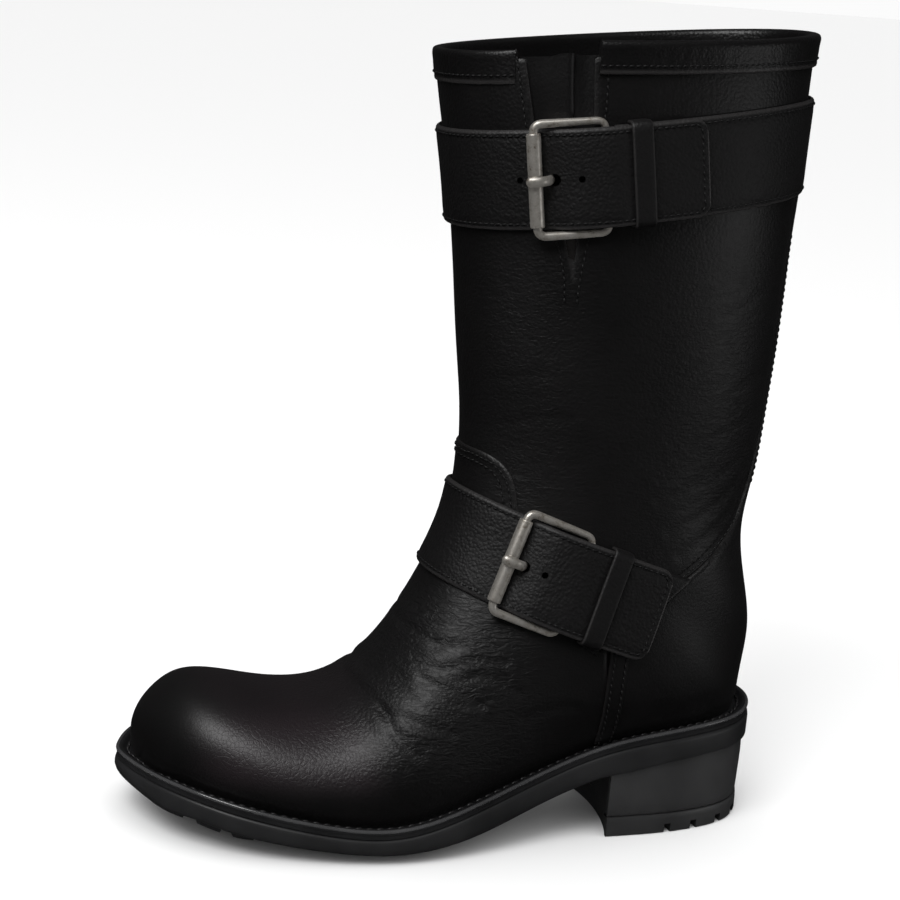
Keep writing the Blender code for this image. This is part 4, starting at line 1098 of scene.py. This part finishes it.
def eased(runs, table):
    """A table of run and value read at runs, its corners eased."""
    rows = np.array(table, float)
    spread = np.linspace(-RAMP_EASE, RAMP_EASE, 21)
    values = np.interp(runs[:, None] + spread, rows[:, 0], rows[:, 1])
    weights = np.exp(-((spread / (RAMP_EASE * 0.55)) ** 2))
    return (values * weights).sum(1) / weights.sum()


TIP_STEPS = np.array([5, 4, 3.1, 2.3, 1.6, 1.0, 0.5, 0.2, 0.0])
TIP_RADIUS = 5.0


def tip_halves(runs, end):
    left = np.clip((end - runs) / TIP_RADIUS, 0, 1)
    return STRAP_WIDTH / 2 - TIP_RADIUS * 0.92 * (1 - np.sqrt(np.clip(1 - (1 - left) ** 2, 0, 1)))


def strap(name, path, runs, ramp, solid):
    """A strap round the boot: rings of its section at each run, the last ones rounding its tip."""
    centres, _along, across, _n = frames(path, runs)
    top_v = np.array([-1, -0.985, -0.955, -0.915, -0.885, -0.86, -0.83, -0.7, -0.5, -0.25, 0])
    top_h = np.array([0.30, 0.62, 0.86, 0.97, 0.93, 0.90, 0.95, 1.0, 1.0, 1.0, 1.0])
    vs = np.r_[top_v, -top_v[-2::-1], 0.97, 0.5, 0.0, -0.5, -0.97]
    hs = np.r_[top_h, top_h[-2::-1], np.zeros(5)]
    above = hs > 0
    halves = tip_halves(runs, runs[-1])
    spots = centres[:, None] + across[:, None] * (vs[None, :, None] * halves[:, None, None])
    us, fs = snap(spots)
    wave = 0.12 * np.sin(runs / 11.0)[:, None] * np.cos(vs * 2.2)[None] * above[None]
    points = skin(us, fs, eased(runs, ramp)[:, None] + hs[None] * STRAP_THICK + wave)[0]
    # Lighter colour along the strap's edges, from wear and a painted highlight; the tip gets a stronger
    # painted highlight.
    edge = np.where((np.abs(vs) > 0.95) & above, 0.55, 0.0) * np.ones((len(runs), 1))
    edge[-2:] = 0.9
    return add_rings(name, points, STRAP_LEATHER, [solid], 55, 0.75, edge)


def strap_point(path, run, v, off):
    """Points over the strap's path at run and v across it, at a height over the skin, with their normals."""
    c, _along, across, _n = frames(path, run)
    us, fs = snap(c + across * np.atleast_1d(v)[:, None])
    return skin(us, fs, off)


def punched(target, path, run, off, radius):
    """A round hole through the middle of a strap, as the tool that cuts it."""
    centres, normals = strap_point(path, [run], [0], np.array([0.0]))
    c = centres[0]
    n = normals[0]
    one = np.cross(n, (0, 0, 1.0))
    one /= np.linalg.norm(one)
    two = np.cross(n, one)
    turn = np.linspace(0, 2 * math.pi, 24, endpoint=False)
    ring = radius * (np.outer(np.cos(turn), one) + np.outer(np.sin(turn), two))
    points = np.r_[c + n * (off - 1.0) + ring, c + n * (off + 6.0) + ring]
    mesh = mesh_from("punch", points, ring_faces(2, 24))
    work = bmesh.new()
    work.from_mesh(mesh)
    bmesh.ops.recalc_face_normals(work, faces=work.faces)
    work.to_mesh(mesh)
    work.free()
    return cutter(target, mesh)


# Stitches: short rounded pieces of thread. Rings of one: place along it, width, height
STITCH_HALF = ((-0.5, 0.25, -0.35), (-0.4, 0.85, 0.3), (-0.15, 1.0, 0.75))
STITCH_RINGS = STITCH_HALF + tuple((-s, r, h) for s, r, h in reversed(STITCH_HALF))
STITCH_SIDES = 6


def stitch_row(points, normals, pitch, length, radius):
    """Points and faces of the stitches along a line, each slightly askew."""
    t = run_of(points)
    count = max(int(t[-1] / pitch), 1)
    made = []
    faces = []

    def at(rows, run):
        return np.array([np.interp(run, t, rows[:, a]) for a in range(3)])

    for k in range(count):
        run = (k + 0.5) * t[-1] / count
        c = at(points, run)
        n = at(normals, run)
        n /= np.linalg.norm(n)
        along = at(points, run + 0.6) - at(points, run - 0.6)
        along -= n * (along @ n)
        along /= np.linalg.norm(along) + 1e-9
        along = along + np.cross(n, along) * (0.10 + 0.04 * math.sin(k * 1.7))
        along /= np.linalg.norm(along)
        aside = np.cross(n, along)
        start = len(made)
        for s, r, h in STITCH_RINGS:
            for a in np.linspace(0, 2 * math.pi, STITCH_SIDES, endpoint=False):
                out = aside * (radius * r * math.cos(a)) + n * (radius * (h + r * math.sin(a) * 0.8))
                made.append(c + along * (s * length) + out)
        quads = ring_faces(len(STITCH_RINGS), STITCH_SIDES)
        faces += [tuple(start + m for m in face) for face in quads]
    return np.array(made), faces


def stitches(name, rows, pitch=2.7, length=2.15, radius=0.36, material=THREAD):
    """One piece for several rows, each a pair of points and normals."""
    points = []
    faces = []
    for line, normals in rows:
        made, some = stitch_row(line, normals, pitch, length, radius)
        faces += [tuple(k + len(points) for k in f) for f in some]
        points += list(made)
    return add(name, mesh_from(name, points, faces), material)


def locate(line, side, count):
    """u and f for a line of d and z on one side of the boot."""
    line = spaced(np.asarray(line, float), count)
    first = 0 if side < 0 else FINE_F // 2 + 1
    grid = dz(FINE[::2, first : first + FINE_F // 2 : 2])
    columns = grid.shape[1]
    flat = grid.reshape(-1, 2)
    near = np.array([((flat - p) ** 2).sum(1).argmin() for p in line])
    us = (near // columns) * 2 / (FINE_U - 1)
    fs = (first + (near % columns) * 2) / (FINE_F - 1) * 2 - 1
    for _ in range(10):
        e = 2e-3
        here = skin(us, fs)[0]
        su = (skin(us + e, fs)[0] - skin(us - e, fs)[0]) / (2 * e)
        sf = (skin(us, fs + e)[0] - skin(us, fs - e)[0]) / (2 * e)
        rd = line[:, 0] - (HEEL_X - here[:, 0])
        rz = line[:, 1] - here[:, 2]
        a, b, c, g = -su[:, 0], -sf[:, 0], su[:, 2], sf[:, 2]
        det = a * g - b * c
        det = np.where(np.abs(det) < 1, 1e9, det)
        us = np.clip(us + np.clip((g * rd - b * rz) / det, -0.01, 0.01), 0, 1)
        fs = np.clip(fs + np.clip((a * rz - c * rd) / det, -0.01, 0.01), -1, 1)
    return us, fs


def shifted(us, fs, by):
    """A line on the skin moved sideways by a distance, then snapped back to the skin."""
    p, n = skin(us, fs)
    along = np.gradient(p, axis=0)
    along /= np.linalg.norm(along, axis=1)[:, None] + 1e-9
    aside = np.cross(n, along)
    return snap(p + aside * by)


def on_skin(us, fs, off):
    return skin(us, fs, np.full(np.shape(us), float(off)))


def drops_of(us, f):
    """How far each u lies under the collar's plane, on the line of one f."""
    return collar_drop(*d_and_z(skin(us, np.full(len(us), f))[0]))


# Top strap
TOP_SLOPE = 0.138


def top_measure(d, z):
    return (z - 260.4 - TOP_SLOPE * (146 - d)) / math.hypot(1, TOP_SLOPE)


def twice_round(loop, start_d):
    """A closed loop from the place of start_d on the buckle side, twice round the boot."""
    side = HEEL_X - loop[: len(loop) // 2, 0]
    first = np.argmin(np.abs(side - start_d))
    turned = np.roll(loop[::-1], first + 1, 0)
    return np.r_[turned, turned, turned[:1]]


top_loop = path_on(top_measure, 0.0, np.linspace(-1, 1, 401), 0.55)[:-1]
top_path = twice_round(top_loop, 117.2)
round_length = run_of(np.r_[top_loop, top_loop[:1]])[-1]
TOP_BASE = 0.6
TOP_END = round_length + 65.0
TOP_RAMP = [
    (0, TOP_BASE), (round_length + 1, TOP_BASE), (round_length + 8, 3.3), (round_length + 14, 4.9),
    (round_length + 28, 5.3), (round_length + 42, 3.1), (round_length + 80, 3.0),
]
top_runs = np.r_[BUCKLE_RUN + 1.0, np.arange(BUCKLE_RUN + 5, TOP_END - 6, 1.3), TOP_END - TIP_STEPS]
top_strap = strap("top_strap_leather", top_path, top_runs, TOP_RAMP, "top_strap")

# Instep strap and the tab that holds its buckle
INSTEP_TILT = 0.333


def instep_measure(d, z):
    return math.sqrt(1 - INSTEP_TILT**2) * z - INSTEP_TILT * d


instep_fs = np.linspace(0.80, -0.86, 400)
instep_path = path_on(instep_measure, 69.2, instep_fs, 0.2)
instep_t = run_of(instep_path)


def run_at(d, side=-1):
    """Run of the instep strap's path where it passes d on one side."""
    k = np.where(instep_fs * side > 0)[0]
    ds = HEEL_X - instep_path[k, 0]
    order = np.argsort(ds)
    return float(np.interp(d, ds[order], instep_t[k[order]]))


roller_run = run_at(119.5)
tip_run = run_at(62.8) + 2.0
start_run = run_at(59.0, 1)
INSTEP_BASE = 1.5
instep_runs = np.r_[np.arange(start_run, tip_run - 6, 1.3), tip_run - TIP_STEPS]
INSTEP_RAMP = [
    (start_run, 1.95), (start_run + 25, 1.95), (start_run + 45, INSTEP_BASE), (roller_run + 1, INSTEP_BASE),
    (roller_run + 8, 4.2), (roller_run + 14, 5.6), (roller_run + 28, 6.0), (roller_run + 42, 4.5),
    (tip_run, 4.4),
]
instep_strap = strap("instep_strap_leather", instep_path, instep_runs, INSTEP_RAMP, "instep_strap")


# Keepers
def keeper(name, path, at, low, high, solid):
    """A leather loop over a strap: rings of its rounded band along a bridge with two legs."""
    reach = STRAP_WIDTH / 2 + 0.9
    leg = [(-reach, low), (-reach, high - 1.2), (-reach + 0.3, high), (-reach + 1.4, high + 0.75)]
    leg += [(-12, high + 0.95)]
    bridge = np.array(leg + [(0, high + 1.05)] + [(-v, h) for v, h in reversed(leg)])
    t = run_of(bridge)
    line = np.stack([np.interp(np.linspace(0, t[-1], 70), t, bridge[:, k]) for k in range(2)], -1)
    line[2:-2] = (line[:-4] + line[1:-3] + line[2:-2] + line[3:-1] + line[4:]) / 5
    direction = np.gradient(line, axis=0)
    direction /= np.linalg.norm(direction, axis=1)[:, None]
    out = np.c_[-direction[:, 1], direction[:, 0]]
    half = KEEPER_WIDTH / 2
    shoulder = [(-1, -0.5), (-1, 0.1), (-0.93, 0.42), (-0.8, 0.55), (-0.5, 0.6), (0, 0.62)]
    section = shoulder + [(-s, h) for s, h in reversed(shoulder[:-1])]
    section += [(0.5, -0.6), (0, -0.6), (-0.5, -0.6)]
    rings = []
    for s, h in section:
        c, _along, across, _n = frames(path, [at + s * half])
        us, fs = snap(c[0] + across[0] * (line[:, :1] + out[:, :1] * h))
        rings.append(skin(us, fs, line[:, 1] + out[:, 1] * h)[0])
    # Lighter colour on the keeper's sides: wear and a painted highlight.
    edge = np.array([0.4 if abs(s) > 0.9 else 0.0 for s, h in section])
    add_rings(name, np.swapaxes(rings, 0, 1), STRAP_LEATHER, [solid], 60, 0.4, edge)


keeper("top_keeper_loop", top_path, round_length + 38.2, 0.5, 6.2, "top_keeper")
keeper("instep_keeper_loop", instep_path, roller_run + 39.6, 1.9, 7.2, "instep_keeper")


# Buckles
def sweep(points, radii, sides, up, closed=False, flat=1.0):
    """A bar through points; flat squeezes it along the direction up."""
    points = np.asarray(points, float)
    count = len(points)
    radii = np.broadcast_to(radii, (count,))
    if closed:
        along = np.roll(points, -1, 0) - np.roll(points, 1, 0)
    else:
        along = np.gradient(points, axis=0)
    along /= np.linalg.norm(along, axis=1)[:, None]
    normal = np.asarray(up, float) / np.linalg.norm(up)
    rings = []
    for k in range(count):
        one = normal - along[k] * (normal @ along[k])
        one /= np.linalg.norm(one)
        two = np.cross(along[k], one)
        a = np.linspace(0, 2 * math.pi, sides, endpoint=False)
        rings.append(points[k] + radii[k] * (np.outer(np.cos(a), one) * flat + np.outer(np.sin(a), two)))
    rings = np.array(rings)
    faces = ring_faces(count, sides, True, () if closed else (0, -1))
    if closed:
        last = (count - 1) * sides
        faces += [(last + k, last + (k + 1) % sides, (k + 1) % sides, k) for k in range(sides)]
    return rings.reshape(-1, 3), faces


def rounded(corners, radius, steps=9):
    corners = [np.asarray(c, float) for c in corners]
    line = []
    for k, here in enumerate(corners):
        before = corners[k - 1] - here
        after = corners[(k + 1) % len(corners)] - here
        a = here + before / np.linalg.norm(before) * radius
        b = here + after / np.linalg.norm(after) * radius
        for s in np.linspace(0, 1, steps):
            line.append((1 - s) ** 2 * a + 2 * s * (1 - s) * here + s * s * b)
    return np.array(line)


def metal_piece(name, points, faces, solid, sharp=None):
    add(name, mesh_from(name, points, faces), METAL, [solid], sharp)


def buckle(name, path, roller_at, base, lift, bar_half):
    """Frame, roller and prong over a strap; the roller lies at one run, the far bar further along."""
    c, along, across, n = frames(path, [roller_at, roller_at + BAR_RUN, roller_at + BAR_RUN / 2])
    aside = across[2]
    normal = n[2]
    left = c[0] + n[0] * (base + STRAP_THICK + lift + ROLLER_RADIUS)
    right = c[1] + n[1] * (base + 2.1)
    reach = aside * bar_half
    corners = [left + reach, right + reach, right - reach, left - reach]
    line = rounded(corners, 3.6)
    share = np.clip(((line - left) @ (right - left)) / ((right - left) @ (right - left)), 0, 1)
    points, faces = sweep(line, BUCKLE_WIRE * (1.0 - 0.18 * share), 16, normal, True, 0.92)
    metal_piece(name + "_bar", points, faces, name + "_frame")

    half = bar_half - BUCKLE_HALF + ROLLER_LENGTH / 2
    end = [(-1, 0.55), (-0.998, 0.9), (-0.985, 0.985), (-0.96, 1.0), (-0.2, 1.0)]
    spots = np.array(end + [(-s, r) for s, r in reversed(end)])
    points, faces = sweep(left + spots[:, :1] * half * aside, ROLLER_RADIUS * spots[:, 1], 28, normal)
    metal_piece(name + "_tube", points, faces[:-2], name + "_roller", 45)

    forward = np.cross(aside, normal)
    forward *= np.sign((forward * along[2]).sum())
    top = ROLLER_RADIUS + 0.1 + 1.15
    spots = [(-3.4, top - 1.0), (-2.6, top - 0.45), (-1.2, top - 0.05), (0.6, top), (2.4, top - 0.35)]
    spots += [(3.9, top - 1.5), (5.0, 1.0), (5.9, -1.6), (6.4, -4.2)]
    rough = np.array(spots)
    fine = spaced(rough, 34)
    prong = left + fine[:, :1] * forward + fine[:, 1:] * normal
    tip = np.clip(np.linspace(0, run_of(rough)[-1], 34) / 1.6, 0, 1)
    radii = 1.2 * np.sqrt(np.clip(1 - (1 - tip) ** 2, 0.03, 1))
    points, faces = sweep(prong, radii, 14, aside, False, 1.6)
    metal_piece(name + "_pin", points, faces, name + "_prong")


buckle("top_buckle", top_path, round_length - 0.8, TOP_BASE, 0.5, 21.2)
buckle("instep_buckle", instep_path, roller_run + 0.6, INSTEP_BASE, 1.0, 20.6)

# Holes of the straps: run, depth under the strap's top, radius
TOP_HOLES = [(round_length + 6.0, 2.5, 2.3), (round_length + 15.6, 4.6, 1.25), (round_length - 7.0, 1.1, 1.2)]
INSTEP_HOLES = [(roller_run + 6.0, 3.4, 2.3), (run_at(107.5), 5.3, 1.3)]
for target, path, holes in ((top_strap, top_path, TOP_HOLES), (instep_strap, instep_path, INSTEP_HOLES)):
    settle(target, [punched(target, path, *hole) for hole in holes])

# The tab under the instep strap, cut along the counter's edge
tab_start = roller_run + BUCKLE_RUN + 2.6
tab_vs = np.array([-1, -0.98, -0.9, -0.6, -0.3, 0, 0.3, 0.6, 0.9, 0.98, 1, 0.98, 0.6, 0.0, -0.6, -0.98])
tab_hs = np.array([0.3, 0.8, 1, 1, 1, 1, 1, 1, 1, 0.8, 0.3, 0, 0, 0, 0, 0])


def tab_line(end, v, count):
    """Spots of one line along the tab, v across it, from its start to end."""
    runs = np.linspace(tab_start, end, count)
    c, _along, across, _n = frames(instep_path, runs)
    return runs, c + across * (v * (STRAP_WIDTH / 2 - 0.6))


tab_rings = []
for v, h in zip(tab_vs, tab_hs):
    runs, spots = tab_line(run_at(40.0), v, 120)
    clear = region(COUNTER_LINE)(spots) < 0
    end = runs[-1] if clear.all() else runs[max(int(np.argmin(clear)), 1)]
    us, fs = snap(tab_line(end - 0.3, v, 40)[1])
    tab_rings.append(skin(us, fs, np.full(40, 1.5 + h * STRAP_THICK))[0])
tab_points = np.swapaxes(tab_rings, 0, 1)
tab_edge = np.zeros(tab_points.shape[:2])
# Lighter colour at the tab's end: wear and a painted highlight.
tab_edge[-1] = 0.5
TAB_NODES = ["instep_buckle_tab"]
add_rings("instep_tab_leather", tab_points, STRAP_LEATHER, TAB_NODES, 55, 0.5, tab_edge)

# Collar band folded over the top edge
BAND_PROFILE = [
    (0.25, 12.3), (0.95, 12.6), (1.4, 12.3), (1.55, 11.6), (1.45, 10.6), (1.55, 9.4), (1.6, 7.0),
    (1.65, 4.6), (1.8, 3.2), (1.85, 2.2), (1.7, 1.3), (1.3, 0.6), (0.7, 0.2), (0.0, 0.02), (-0.9, 0.0),
    (-1.8, 0.12), (-2.6, 0.5), (-3.2, 1.2), (-3.45, 2.2), (-3.3, 4.0), (-3.05, 8.0), (-3.0, 11.6),
    (-2.75, 12.2), (-2.3, 12.2),
]


def rim_rise(f):
    if f > -0.02:
        return 0.0
    row = np.argmin(np.abs(np.linspace(0, 1, FINE_U) - 0.985))
    d = HEEL_X - skin(row / (FINE_U - 1), f)[0][0]
    rows = np.array(RIM_RISE)
    return float(np.interp(d, rows[:, 0], rows[:, 1]))


REAR_FS = np.linspace(-0.352, -1, 150)[:-1]
FRONT_FS = np.linspace(1, -0.196, 270)
band_us = np.linspace(0.8, 1, 160)
rings = []
for k, f in enumerate(np.r_[REAR_FS, FRONT_FS]):
    drops = drops_of(band_us, f)
    rise_here = rim_rise(f)
    wave = 0.035 * math.sin(k * 0.9) * math.sin(k * 0.13) + 0.03 * math.sin(k * 0.37)
    thin = 1.0
    if k >= len(REAR_FS):
        thin = (0.62 + 0.38 * smooth((f - 0.15) / 0.4)) * (0.5 + 0.5 * smooth((f + 0.197) / 0.035))
    ring = []
    for off, drop in BAND_PROFILE:
        off = off * thin if off > 0 else off
        raised = drop - rise_here * (1.0 if off > -2.7 else 1 - smooth((drop - 3) / 4))
        waving = 1.0 if off > 0.5 and 3 < drop < 12 else 0.25
        ring.append((np.interp(-raised, -drops, band_us), f, off + wave * waving))
    rings.append(ring)
rings = np.array(rings)
band_points = skin(*np.moveaxis(rings, -1, 0))[0]
band_edge = np.zeros(len(BAND_PROFILE))
# Lighter colour along the top of the fold's roll: wear and a painted highlight.
band_edge[1:4] = 0.45
add_rings("collar_fold", band_points, BAND_LEATHER, ["collar_band"], 60, 0.7, band_edge)
band_us, band_fs, band_offs = rings[:, 5].T
band_row = skin(band_us, band_fs, band_offs - 0.03)

# Gusset behind the notch, folded into a roll
GUSSET_TOP = 2.2
GUSSET_DEPTH = 83.8
gusset_us = np.linspace(0.55, 1, 240)


def gusset_point(f, drop, fold, first, shut):
    """u, f and height of one point of the gusset: its front part folds over the lower rear part."""
    ahead = f - fold
    over = float(smooth((first + 0.004 - f) / 0.07)) if ahead > 0 else 0.0
    round_edge = math.sqrt(max(0.0, 1 - max(0.0, 1 - ahead / 0.012) ** 2)) if ahead > 0 else 0.0
    roll = shut * (2.5 * over * round_edge + 0.35 * math.exp(-(((ahead - 0.014) / 0.010) ** 2)))
    dent = -0.9 * shut * math.exp(-(((ahead + 0.022) / 0.020) ** 2)) * (ahead <= 0)
    lift = drop - 1.3 * math.exp(-(((ahead - 0.016) / 0.022) ** 4)) * math.exp(-drop / 7)
    return np.interp(-lift, -drops_of(gusset_us, f), gusset_us), f, -WALL - 0.1 + roll + dent


gusset_rows = []
for drop in np.linspace(GUSSET_TOP, GUSSET_TOP + GUSSET_DEPTH, 70):
    share = (drop - GUSSET_TOP) / GUSSET_DEPTH
    first = -0.190 - 0.078 * share
    last = -0.372 + 0.022 * share
    fold = -0.306 - 0.014 * share
    front = np.linspace(first, fold + 0.016, 30)
    middle = np.linspace(fold + 0.0145, fold - 0.004, 20)
    rear = np.linspace(fold - 0.006, last, 22)
    shut = max(0.0, 1 - share * 1.5)
    gusset_rows.append([gusset_point(f, drop, fold, first, shut) for f in np.r_[front, middle, rear]])
us, fs, offs = np.moveaxis(np.array(gusset_rows), -1, 0)
both = np.concatenate([skin(us, fs, offs)[0], skin(us, fs, offs - 1.2)[0][:, ::-1]], axis=1)
rows, columns = both.shape[:2]
faces = ring_faces(rows, columns, True, ())
faces += [(i, i + 1, columns - 2 - i, columns - 1 - i) for i in range(columns // 2 - 1)]
layers = {"grain": np.full(rows * columns, 0.35)}
gusset_mesh = mesh_from("gusset_leather", both.reshape(-1, 3), faces, layers)
add("gusset_leather", gusset_mesh, GUSSET_LEATHER, ["gusset"], 60)

# Insole
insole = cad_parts["insole"]
insole.data.materials.clear()
insole.data.materials.append(INSOLE_LEATHER)


# Stitches beside the seams
def beside(us, fs, by, off):
    """A row of stitches beside a line of the skin."""
    return on_skin(*shifted(us, fs, by), off)


tongue_us = np.linspace(0.38, 0.72, 420)
rows = []
for by in (2.0, 4.4):
    row = []
    for f in np.linspace(-0.52, 0.52, 420):
        inside = np.where(region(VAMP_LINE)(skin(tongue_us, np.full(420, f))[0]) > by)[0]
        if len(inside) and inside[-1] < 419:
            row.append((tongue_us[inside[-1]], f))
    rows.append(on_skin(*np.array(row).T, VAMP_STEP + 0.02))
stitches("stitches_tongue", rows)

back_us = u_at(np.full(60, -1.0), lambda d, z: z, np.linspace(140, 244, 60), 0.3)
rows = []
for side in (-1, 1):
    us, fs = locate(COUNTER_EDGE[3:9], side, 120)
    rows.append(beside(us, fs, -2.6 * side, COUNTER_STEP + 0.02))
    some = np.linspace(side * 0.6, side * 1.0, 400)
    back_fs = []
    for u in back_us:
        line = skin(np.full(400, u), some)[0]
        found = region(COUNTER_LINE)(line) > 0
        k = int(np.argmax(found)) if found.any() else 399
        back_fs.append(some[k] + side * 2.4 / (run_of(line)[-1] / 0.4))
    back_fs = np.array(back_fs)
    ok = np.abs(back_fs) < 0.985
    rows.append(on_skin(back_us[ok], back_fs[ok], COUNTER_STEP - 0.15))
stitches("stitches_counter", rows)
stitches("stitches_band", [band_row])


def strap_rows(path, start, end, ramp):
    """A row of stitches along both edges of a strap and round its tip."""
    beside_edge = 2.3
    half = STRAP_WIDTH / 2 - beside_edge
    radius = 3.2
    turn = np.linspace(0, math.pi / 2, 8)
    straight = np.arange(start, end - 5.5, 2.0)
    runs = np.r_[straight, end - beside_edge - radius + radius * np.sin(turn)]
    vs = np.r_[np.full(len(straight), half), half - radius + radius * np.cos(turn)]
    runs = np.r_[runs, runs[::-1]]
    return strap_point(path, runs, np.r_[vs, -vs[::-1]], eased(runs, ramp) + STRAP_THICK * 0.93)


top_rows = [strap_rows(top_path, BUCKLE_RUN + 6, TOP_END, TOP_RAMP)]
stitches("stitches_top_strap", top_rows)
instep_rows = [strap_rows(instep_path, start_run + 2, tip_run, INSTEP_RAMP)]
stitches("stitches_instep_strap", instep_rows)

# Welt stitches in the groove
ring = inset(outline(900), 4.9)
line = at_height(ring, welt_top(ring[:, 0]) - 1.45)
line = np.r_[line, line[:1]]
upward = np.tile((0, 0, 1.0), (len(line), 1))
stitches("stitches_welt", [(line, upward)], 4.2, 3.4, 0.6, WELT_THREAD)


# Side strip over the seam between vamp and counter
STRIP_HALF = 3.9
STRIP_LOW = 0.6
STRIP_HIGH = 2.35


def side_strip(name, us, fs):
    """A narrow raised strip along a line of the skin."""
    p, n = skin(us, fs)
    along = np.gradient(p, axis=0)
    along /= np.linalg.norm(along, axis=1)[:, None]
    aside = np.cross(n, along)
    vs = np.array([-1.0, -1.0, -0.86, -0.6, 0.0, 0.6, 0.86, 1.0, 1.0])
    hs = np.array([0.0, 0.6, 0.95, 1.0, 1.0, 1.0, 0.95, 0.6, 0.0])
    a, b = snap(p[:, None] + aside[:, None] * (vs[None, :, None] * STRIP_HALF))
    points = skin(a, b, STRIP_LOW + (STRIP_HIGH - STRIP_LOW) * hs[None] * np.ones((len(us), 1)))[0]
    # Lighter colour along the strip's edges: wear and a painted highlight.
    edge = np.where(np.abs(vs) > 0.9, 0.2, 0.0)
    add_rings(name, points, PANEL_LEATHER, (), 60, 0.3, edge, False)


rows = []
for side, name in ((-1, "outer"), (1, "inner")):
    us, fs = locate([(75.2, 82.0), (76.6, 62.0), (77.0, 41.0)], side, 60)
    side_strip("side_strip_" + name, us, fs)
    rows += [beside(us, fs, by, STRIP_HIGH + 0.01) for by in (-2.5, 2.5)]
stitches("stitches_side", rows)

# Stitches round the notch and down its V
rows = []
NOTCH_ZS = (312.5, 298, 284, 262, 243, 226.5, 217.5)
for ds in ((128.9, 126.3, 123.6, 117.6, 110.6, 106.0, 105.4), (96.9, 96.0, 96.4, 97.2, 98.6, 100.4, 100.9)):
    rows.append(on_skin(*locate(np.c_[ds, NOTCH_ZS], -1, 90), 0.05))
stitches("stitches_notch", rows)

# Back seam piping
seam_us = u_at([-1.0, -1.0], lambda d, z: z, np.array([44.0, 262.0]), 0.3)
piping_half = [(-2.4, 0.0), (-2.2, 0.45), (-1.6, 0.9), (-0.8, 1.15), (0, 1.2)]
rows = []
for u in np.linspace(*seam_us, 170):
    span = run_of(skin(np.full(200, u), np.linspace(-1, 0, 200))[0])[-1]
    outer = [(u, -1 - v / span, h) for v, h in piping_half]
    rows.append(outer + [(u, -f, h) for _u, f, h in reversed(outer[:-1])])
us, fs, offs = np.moveaxis(np.array(rows), -1, 0)
over_counter = np.where(skin(us, fs)[0][..., 2] < 262, COUNTER_STEP - 0.1, 0)
piping = skin(us, fs, offs + over_counter)[0]
add_rings("back_piping", piping, PANEL_LEATHER, grain=0.2, around=False, caps=())

# Camera, floor and light
camera_data = bpy.data.cameras.new("camera")
camera = linked("camera", camera_data)
azimuth = math.radians(18.8)
pitch = math.radians(13.6)
roll = math.radians(4.3)
ahead = Vector((math.sin(azimuth) * math.cos(pitch), math.cos(azimuth) * math.cos(pitch), -math.sin(pitch)))
level = Vector((math.cos(azimuth), -math.sin(azimuth), 0))
upward = level.cross(ahead)
across = level * math.cos(roll) + upward * math.sin(roll)
upright = upward * math.cos(roll) - level * math.sin(roll)
turn = Matrix((across, upright, -ahead)).transposed().to_4x4()
camera.matrix_world = Matrix.Translation(Vector((-0.350175, -0.719838, 0.338909))) @ turn
camera_data.sensor_width = 36
camera_data.lens = 36 * 1977 / 900
camera_data.clip_start = 0.01
camera_data.clip_end = 200
bpy.context.scene.camera = camera

floor_mesh = bpy.data.meshes.new("floor")
reach = 40.0
corners = [(-reach, -reach, 0), (reach, -reach, 0), (reach, reach, 0), (-reach, reach, 0)]
floor_mesh.from_pydata(corners, [], [(0, 1, 2, 3)])
floor = linked("floor", floor_mesh)
floor_material, _tree, floor_shader = nodes_of("floor")
floor_shader.inputs["Base Color"].default_value = (0.905, 0.905, 0.905, 1)
floor_shader.inputs["Roughness"].default_value = 0.9
floor_shader.inputs["Specular IOR Level"].default_value = 0.1
floor_mesh.materials.append(floor_material)
floor.visible_glossy = False

# A white room that the leather hardly mirrors, and two soft lights that give it its highlights
DOME_SIDE = 0.18
DOME_TOP = 1.32
SEEN_SKY = 0.97
GLOSSY_SKY = 0.010
world = bpy.data.worlds.new("world")
bpy.context.scene.world = world
world.use_nodes = True
tree = world.node_tree
sky = tree.nodes["Background"]
sky.inputs[0].default_value = (1, 1, 1, 1)
rays = node(tree, "ShaderNodeLightPath")
split = node(tree, "ShaderNodeSeparateXYZ")
link(tree, node(tree, "ShaderNodeTexCoord").outputs["Generated"], split.inputs[0])
upward = math_node(tree, "MAXIMUM", split.outputs["Z"], 0.0)
dome = total(tree, (upward, DOME_TOP), DOME_SIDE)
for kind, strength in (("Is Glossy Ray", GLOSSY_SKY), ("Is Camera Ray", SEEN_SKY)):
    ray = rays.outputs[kind]
    dome = total(tree, (dome, math_node(tree, "SUBTRACT", 1.0, ray)), (ray, strength))
link(tree, dome, sky.inputs[1])


def area(name, place, aim, size, power):
    data = bpy.data.lights.new(name, "AREA")
    data.shape = "RECTANGLE"
    data.size, data.size_y = size
    data.energy = power
    made = linked(name, data)
    made.location = place
    made.rotation_mode = "QUATERNION"
    made.rotation_quaternion = (Vector(aim) - Vector(place)).to_track_quat("-Z", "Y")


area("key", (-0.95, -0.75, 1.55), (-0.12, 0, 0.05), (0.9, 0.9), 16)
area("side", (1.15, -0.85, 0.16), (0, 0, 0.05), (0.4, 0.28), 0.8)

bpy.context.scene.view_settings.view_transform = "Standard"
